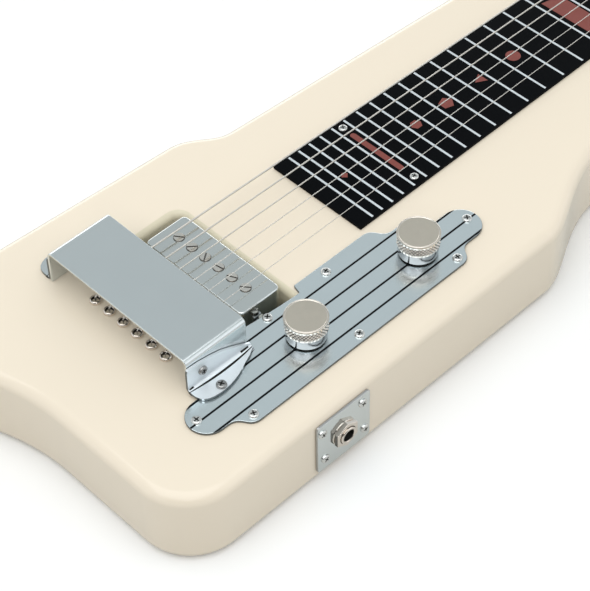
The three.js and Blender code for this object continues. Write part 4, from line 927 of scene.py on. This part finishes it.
jack_plate = sheet_metal(round_block(*plate_sides, 1.6, 6), -jack_face, -plate_face, upright_sheet)
near_edges = [e for e in jack_plate.edges if all(v.co.y < spot(0, plate_face + 0.01, 0).y for v in e.verts)]
ease(jack_plate, near_edges, 0.3, 3)
mark(jack_plate.faces, 1, lambda face, middle: abs(face.normal.y) < 0.85)
shaped(jack_plate, "jack_cover_plate", [jack_chrome, steel], ["jack_plate"], crease=12)
jack_screws = [(10.3, -11.1, 25), (35.6, -11.1, 60), (37.0, -30.4, 5), (11.9, -30.0, 45)]
for number, (x, z, turn) in enumerate(jack_screws, 1):
    cross_screw(f"jack_screw_{number}", 2.4, 1.1, turn, beside(x, plate_face, z))

socket = spun([
    (0.0, -26.9), (4.6, -26.9), (4.6, -14.0), (7.5, -14.0), (7.5, -0.6), (7.2, -0.3), (4.6, -0.3),
    (4.6, 4.2), (4.3, 4.5), (3.55, 4.5), (3.3, 4.25), (3.3, -21.5), (0.0, -21.5),
], beside(jack_x, jack_face, jack_z), 48)
bore_axis = spot(jack_x, 0, jack_z)
# Shade is painted inside the barrel's bore: its inner faces take the dark second material.
mark(socket.faces, 1, lambda face, middle: (
    math.hypot(*(middle - bore_axis).xz) < 3.35 * MM and (middle - bore_axis).y > (jack_face - 4.3) * MM
))
shaped(socket, "jack_barrel", [nickel, painted_shade_metal], ["jack_socket"])
barrel_foot = beside(jack_x, plate_face, jack_z)
washer = spun([(4.9, 0.0), (7.1, 0.0), (7.1, 0.22), (6.9, 0.4), (4.9, 0.4)], barrel_foot, 48)
shaped(washer, "jack_washer", nickel)
jack_hex = hex_ring(barrel_foot, half=6.4, bore=4.9, low=0.45, high=2.5)
# The nut's facets that face the tail take a dark copy of the nickel: painted shade.
nickel_painted_shade = surface("nickel_painted_shade", (0.2, 0.185, 0.165), 1.0, 0.2, 0.05, 0.8, 0.01, tint=0.1)
jack_hex.normal_update()
mark(jack_hex.faces, 1, lambda face, middle: face.normal.x < -0.2 and abs(face.normal.y) < 0.5)
shaped(jack_hex, "jack_hex_nut", [nickel, nickel_painted_shade], ["jack_nut"])


# Tuning machines, three on each side of the head, on one nickel-plated strip a side. Each key's worm
# turns a brass gear on its post, fourteen to one. The buttons are cast with a waist at the shaft.
post_reach, post_inset, post_pitch, post_radius = 27.0, 24.0, 38.0, 3.0
gear_teeth, gear_radius, worm_radius, gear_height = 14, 6.0, 2.5, 3.0
tooth_root, tooth_tip = 0.85, 0.55
strip_sheet, strip_half, strip_gap, strip_ends = 1.2, 9.5, 0.3, (13.0, 16.05)
strip_screw_x, strip_screw_out = [18.989, post_pitch + 19.0], 6.2
lug_out, lug_half, lug_sheet = 7.0, 3.3, 1.2
button_start, button_length, button_half, button_thick = post_reach + 24.0, 15.0, 8.0, 3.0
strip_under = -head_drop - head_thickness - strip_gap - strip_sheet
gear_top = strip_under - strip_gap - worm_radius
worm_z = gear_top - gear_height / 2
worm_out = gear_radius + worm_radius
machines = {}
for number in range(1, 7):
    side = -1 if number <= 3 else 1
    place = number - 1 if side < 0 else 6 - number
    machines[number] = (neck_x + post_inset + place * post_pitch, side * post_reach, side)


def machine_post(x, y):
    gear_low = gear_top - gear_height
    post = spun([
        (0.0, gear_low), (post_radius, gear_low), (post_radius, -10.8), (2.4, -10.2), (2.4, 0.9), (3.0, 1.5),
        (3.0, 3.5), (2.85, 3.8), (2.5, 4.0), (0.0, 4.0),
    ], upright_at(x, y, 0))
    root, tip, half, slope = gear_radius - tooth_root, gear_radius + tooth_tip, 0.5, 0.2
    flank = [(root, half + slope * 1.5), (gear_radius, half), (tip, half - slope)]
    outline = []
    for tooth in range(gear_teeth):
        middle = 2 * math.pi * (tooth + 0.5) / gear_teeth
        for radius, over in [(r, -o) for r, o in flank] + flank[::-1]:
            angle = middle + over / radius
            outline.append((x + radius * math.cos(angle), y + radius * math.sin(angle)))
    return post, sheet_metal(outline, gear_low, gear_top)


def machine_key(x, y, side):
    """The shaft with its worm, from the inner lug outwards, and the button at its end."""
    axis = upright_at(x + worm_out, 0, worm_z) @ Matrix.Rotation(-side * math.pi / 2, 4, "X")
    inner, outer = post_reach - lug_out - lug_sheet - strip_gap, button_start + 2.0
    core = worm_radius - tooth_root
    profile = [(0.0, inner), (core - 0.2, inner), (core, inner + 0.2), (core, outer), (0.0, outer)]
    shaft = spun(profile, axis, 28)
    lead = 2 * math.pi * gear_radius / gear_teeth
    thread = bmesh.new()
    rows, turns, cuts, sunk = [], 2.5, 24, 0.3
    foot_half, crest_half = 0.7, 0.3
    for k in range(int(turns * cuts) + 1):
        turn = k / cuts - turns / 2
        angle = 2 * math.pi * turn
        fade = min(1.0, k / 6, (turns * cuts - k) / 6)
        crest = core - sunk + (tooth_root + tooth_tip + sunk) * max(fade, 0.15)
        row = []
        for radius, over in [
            (core - sunk, -foot_half), (core - sunk, foot_half), (crest, crest_half), (crest, -crest_half),
        ]:
            out, up = radius * math.cos(angle), radius * math.sin(angle)
            row.append(thread.verts.new(spot(x + worm_out - out, y + turn * lead + over, worm_z + up)))
        rows.append(row)
    for here, there in zip(rows, rows[1:]):
        for k in range(4):
            thread.faces.new((here[k], here[(k + 1) % 4], there[(k + 1) % 4], there[k]))
    thread.faces.new(rows[0])
    thread.faces.new(rows[-1])
    button = bmesh.new()
    section_shares = [
        (0.0, 0.34, 1.0), (0.06, 0.4, 1.0), (0.16, 0.62, 0.86), (0.3, 0.84, 0.76), (0.45, 0.97, 0.7),
        (0.66, 1.0, 0.66), (0.82, 0.97, 0.63), (0.92, 0.86, 0.58), (0.98, 0.7, 0.46), (1.0, 0.5, 0.3),
    ]
    previous = None
    for run, wide, thick in section_shares:
        ring_y = side * (button_start + run * button_length)
        edges = rim_of(button, [
            spot(x + worm_out + button_half * wide * u, ring_y, worm_z + button_thick * thick * v)
            for u, v in many_sided(0, 0, 1, 28)
        ])
        if previous:
            bmesh.ops.bridge_loops(button, edges=previous + edges)
        else:
            bmesh.ops.contextual_create(button, geom=edges)
        previous = edges
    bmesh.ops.contextual_create(button, geom=previous)
    return shaft, thread, button


def together(*meshes):
    """Several meshes as one."""
    whole = bmesh.new()
    for mesh in meshes:
        bmesh.ops.recalc_face_normals(mesh, faces=mesh.faces)
        data = bpy.data.meshes.new("part")
        mesh.to_mesh(data)
        mesh.free()
        whole.from_mesh(data)
        bpy.data.meshes.remove(data)
    return whole


def machine_strip(y):
    """The carrier strip with a pair of lugs for each worm."""
    start = neck_x + post_inset - strip_ends[0]
    end = neck_x + post_inset + 2 * post_pitch + strip_ends[1]
    outline = round_block(start, end, y - strip_half, y + strip_half, 3.0, 6)
    strip = sheet_metal(outline, strip_under, strip_under + strip_sheet)
    ease(strip, edges_at(strip, strip_under), 0.3)
    parts = [strip]
    for place in range(3):
        worm_x = neck_x + post_inset + place * post_pitch + worm_out
        sides = (worm_x - lug_half, worm_x + lug_half, -strip_under - lug_sheet / 2, lug_half - worm_z)
        outline = round_block(*sides, 1.5, 5)
        for lug_y in (y - lug_out, y + lug_out):
            ends = (lug_y - lug_sheet / 2, lug_y + lug_sheet / 2)
            parts.append(sheet_metal(outline, *ends, lambda a, b, c: spot(a, c, -b)))
    return together(*parts)


gear_brass = surface("gear_brass", (0.62, 0.46, 0.22), 1.0, 0.26, 0.06, 0.7, 0.008)
for word, side in [("treble", -1), ("bass", 1)]:
    strip = machine_strip(side * post_reach)
    shaped(strip, f"machine_strip_{word}", nickel, [f"tuner_plate_{word}"])
    for number, inset in enumerate(strip_screw_x, 1):
        for edge, out in enumerate([-strip_screw_out, strip_screw_out], 1):
            below = upright_at(neck_x + post_inset + inset, side * post_reach + out, strip_under)
            below = below @ Matrix.Rotation(math.pi, 4, "X")
            cross_screw(f"strip_screw_{word}_{number}_{edge}", 1.9, 0.9, 20 * number + 15 * edge, below)
for number, (x, y, side) in machines.items():
    post, gear = machine_post(x, y)
    key = together(*machine_key(x, y, side))
    shaped(post, f"post_{number}_stem", nickel, [f"tuner_post_{number}"], body=f"post_{number}")
    shaped(gear, f"post_{number}_gear", gear_brass, body=f"post_{number}")
    shaped(key, f"key_{number}_metal", nickel, [f"tuner_key_{number}"], body=f"key_{number}")


# Strings: three plain steel ones and three wound with nickel wire. Each comes up out of its ferrule,
# bends over the saddle, runs over the nut and winds twice round its post.
plain_wire = surface("plain_wire", (0.7, 0.67, 0.62), 1.0, 0.18, 0.05, 0.4, 0.004, tint=0.05)
wound_wire = surface("wound_wire", (0.61, 0.58, 0.53), 1.0, 0.3, 0.06, 0.4, 0.01, tint=0.05)
half_winding, winding_depth = 0.3, 0.06
wound_tree = wound_wire.node_tree
along = wound_tree.nodes["Texture Coordinate"].outputs["Object"]
turns_wave = node(wound_tree, "TexWave", {"Vector": along, "Scale": 1 / (half_winding * MM) / (2 * math.pi)})
turns_bump = node(wound_tree, "Bump", {"Height": turns_wave.outputs["Fac"], "Distance": winding_depth * MM})
feed(wound_tree, wound_tree.nodes["Principled BSDF"], {"Normal": turns_bump.outputs["Normal"]})

gauges = [0.38, 0.43, 0.53, 0.71, 0.86, 1.02]
saddle_radius, string_height, heaviest_half, string_gap = 2.2, 9.5, 0.66, 0.3
saddle_pitch, nut_pitch = 9.8, 7.0
saddle_top = string_height - heaviest_half - string_gap
saddle_axis = saddle_top - saddle_radius
ferrule_top, ferrule_bend = 1.8, 1.4
nut_front, nut_back = 571.5, 577.0
ferrule_foot, ball_top = -6.0, -38.4
winding_top, winding_gap, cuts = -0.6, 0.5, 24
ball = [(0.0, -42.0), (1.6, -42.0), (2.0, -41.6), (2.0, -38.9), (1.6, ball_top), (0.0, ball_top)]
for number, gauge in enumerate(gauges, 1):
    radius = gauge / 2
    level = saddle_top + string_gap + radius
    saddle_y, nut_y = string_side(number, saddle_pitch), string_side(number, nut_pitch)
    ferrule_y = string_side(number, ferrule_pitch)
    exit_z = ferrule_top + radius + string_gap
    climb = math.degrees(math.atan2(level - exit_z, -ferrule_x))
    rise = arc(ferrule_x + ferrule_bend, exit_z - ferrule_bend / 2, ferrule_bend, 180, 90 + climb, 8)
    over = arc(0, saddle_axis, saddle_radius + string_gap + radius, 90 + climb, 90, 6)
    path = [spot(ferrule_x, ferrule_y, ball_top), spot(ferrule_x, ferrule_y, ferrule_foot)]
    path += [spot(x, ferrule_y, z) for x, z in rise] + [spot(x, saddle_y, z) for x, z in over]
    path += [spot(nut_front, nut_y, level), spot(nut_back + radius, nut_y, level)]
    post_x, post_y, side = machines[number]
    wrap = post_radius + string_gap + radius
    dx, dy = post_x - nut_back, post_y - nut_y
    heading = math.atan2(dy, dx) - side * math.asin(wrap / math.hypot(dx, dy))
    first = heading - side * math.pi / 2
    for k in range(2 * cuts + 1):
        a = first + side * 2 * math.pi * k / cuts
        sunk = winding_top - (gauge + winding_gap) * k / cuts
        path.append(spot(post_x + wrap * math.cos(a), post_y + wrap * math.sin(a), sunk))
    string = together(wire(path, radius, 14), spun(ball, upright_at(ferrule_x, ferrule_y, 0), 20))
    shaped(string, f"wire_{number}", wound_wire if number > 3 else plain_wire, [f"string_{number}"])


# Plain soft studio: a white floor that keeps the shadow, one large light overhead, three weak ones
# at the sides and grey surroundings, which the polished metal mirrors.
floor = bpy.data.meshes.new("floor")
floor.from_pydata([(-6, -6, 0), (6, -6, 0), (6, 6, 0), (-6, 6, 0)], [], [(0, 1, 2, 3)])
floor_piece = in_scene("floor", floor)
paper = surface("white_paper", (0.64, 0.64, 0.62), 0.0, 0.7, 0.02, 3.0, 0.01, tint=0.005)
paper_tree = paper.node_tree
paper_shader = paper_tree.nodes["Principled BSDF"]
white = node(paper_tree, "Mix", {
    "Factor": node(paper_tree, "LightPath").outputs["Is Camera Ray"],
    "A": paper_shader.inputs["Base Color"].links[0].from_socket, "B": (0.97, 0.97, 0.97, 1),
})
feed(paper_tree, paper_shader, {"Base Color": white.outputs["Result"]})
floor.materials.append(paper)

# The sky is white to the camera. Mirrors see it grey, paler toward the horizon and darker behind
# the camera.
world = bpy.context.scene.world or bpy.data.worlds.new("studio")
bpy.context.scene.world = world
world.use_nodes = True
sky = world.node_tree
outlook = node(sky, "TexCoord").outputs["Generated"]
split = node(sky, "SeparateXYZ", {"Vector": outlook})
rise = node(sky, "ValToRGB", {"Fac": split.outputs["Z"]})
horizon, overhead = rise.color_ramp.elements
horizon.position, horizon.color = 0.2, (0.95, 0.97, 1.0, 1)
overhead.position, overhead.color = 0.45, (0.56, 0.6, 0.61, 1)
behind = node(sky, "VectorMath")
behind.operation = "DOT_PRODUCT"
behind.inputs[1].default_value = (-0.66, -0.71, 0.25)
sky.links.new(outlook, behind.inputs[0])
dim = node(sky, "MapRange", {"Value": behind.outputs["Value"], "From Min": 0.65, "From Max": 0.9})
room = node(sky, "Mix", {
    "Factor": dim.outputs["Result"], "A": rise.outputs["Color"], "B": (0.2, 0.2, 0.2, 1),
})
backdrop = node(sky, "Mix", {
    "Factor": node(sky, "LightPath").outputs["Is Camera Ray"], "A": room.outputs["Result"], "B": (1, 1, 1, 1),
})
feed(sky, sky.nodes["Background"], {"Color": backdrop.outputs["Result"], "Strength": 1.0})


def softbox(name, position, aim, width, depth, power):
    lamp = bpy.data.lights.new(name, "AREA")
    lamp.shape = "RECTANGLE"
    lamp.size = width
    lamp.size_y = depth
    lamp.energy = power
    holder = in_scene(name, lamp)
    holder.location = position
    holder.rotation_euler = (Vector(aim) - Vector(position)).to_track_quat("-Z", "Y").to_euler()


softbox("key_light", (-0.8, -0.3, 1.7), (-0.3, 0, 0), 2.3, 2.3, 24)
softbox("side_light", (0.63, -1.3, 0.85), (-0.25, 0, 0), 1.0, 1.0, 1.6)
softbox("corner_light", (-0.93, -0.69, 0.68), (-0.38, -0.08, 0), 0.4, 0.03, 0.4)
softbox("back_light", (0.75, 0.95, 0.3), (-0.25, 0, 0), 1.8, 0.5, 5)

picture_width, sensor_width, focal_pixels = 591, 36, 2013.93
camera = bpy.data.cameras.new("camera")
camera.lens = focal_pixels * sensor_width / picture_width
camera.sensor_width = sensor_width
camera.clip_end = 50
viewer = in_scene("camera", camera)
azimuth, elevation, roll = math.radians(-43.17), math.radians(47.81), math.radians(-1.57)
aim = (
    Matrix.Rotation(azimuth, 4, "Z")
    @ Matrix.Rotation(math.pi / 2 - elevation, 4, "X")
    @ Matrix.Rotation(roll, 4, "Z")
)
viewer.matrix_world = upright_at(-375.53, -494.16, 690.66) @ aim
bpy.context.scene.camera = viewer
bpy.context.scene.view_settings.view_transform = "Standard"
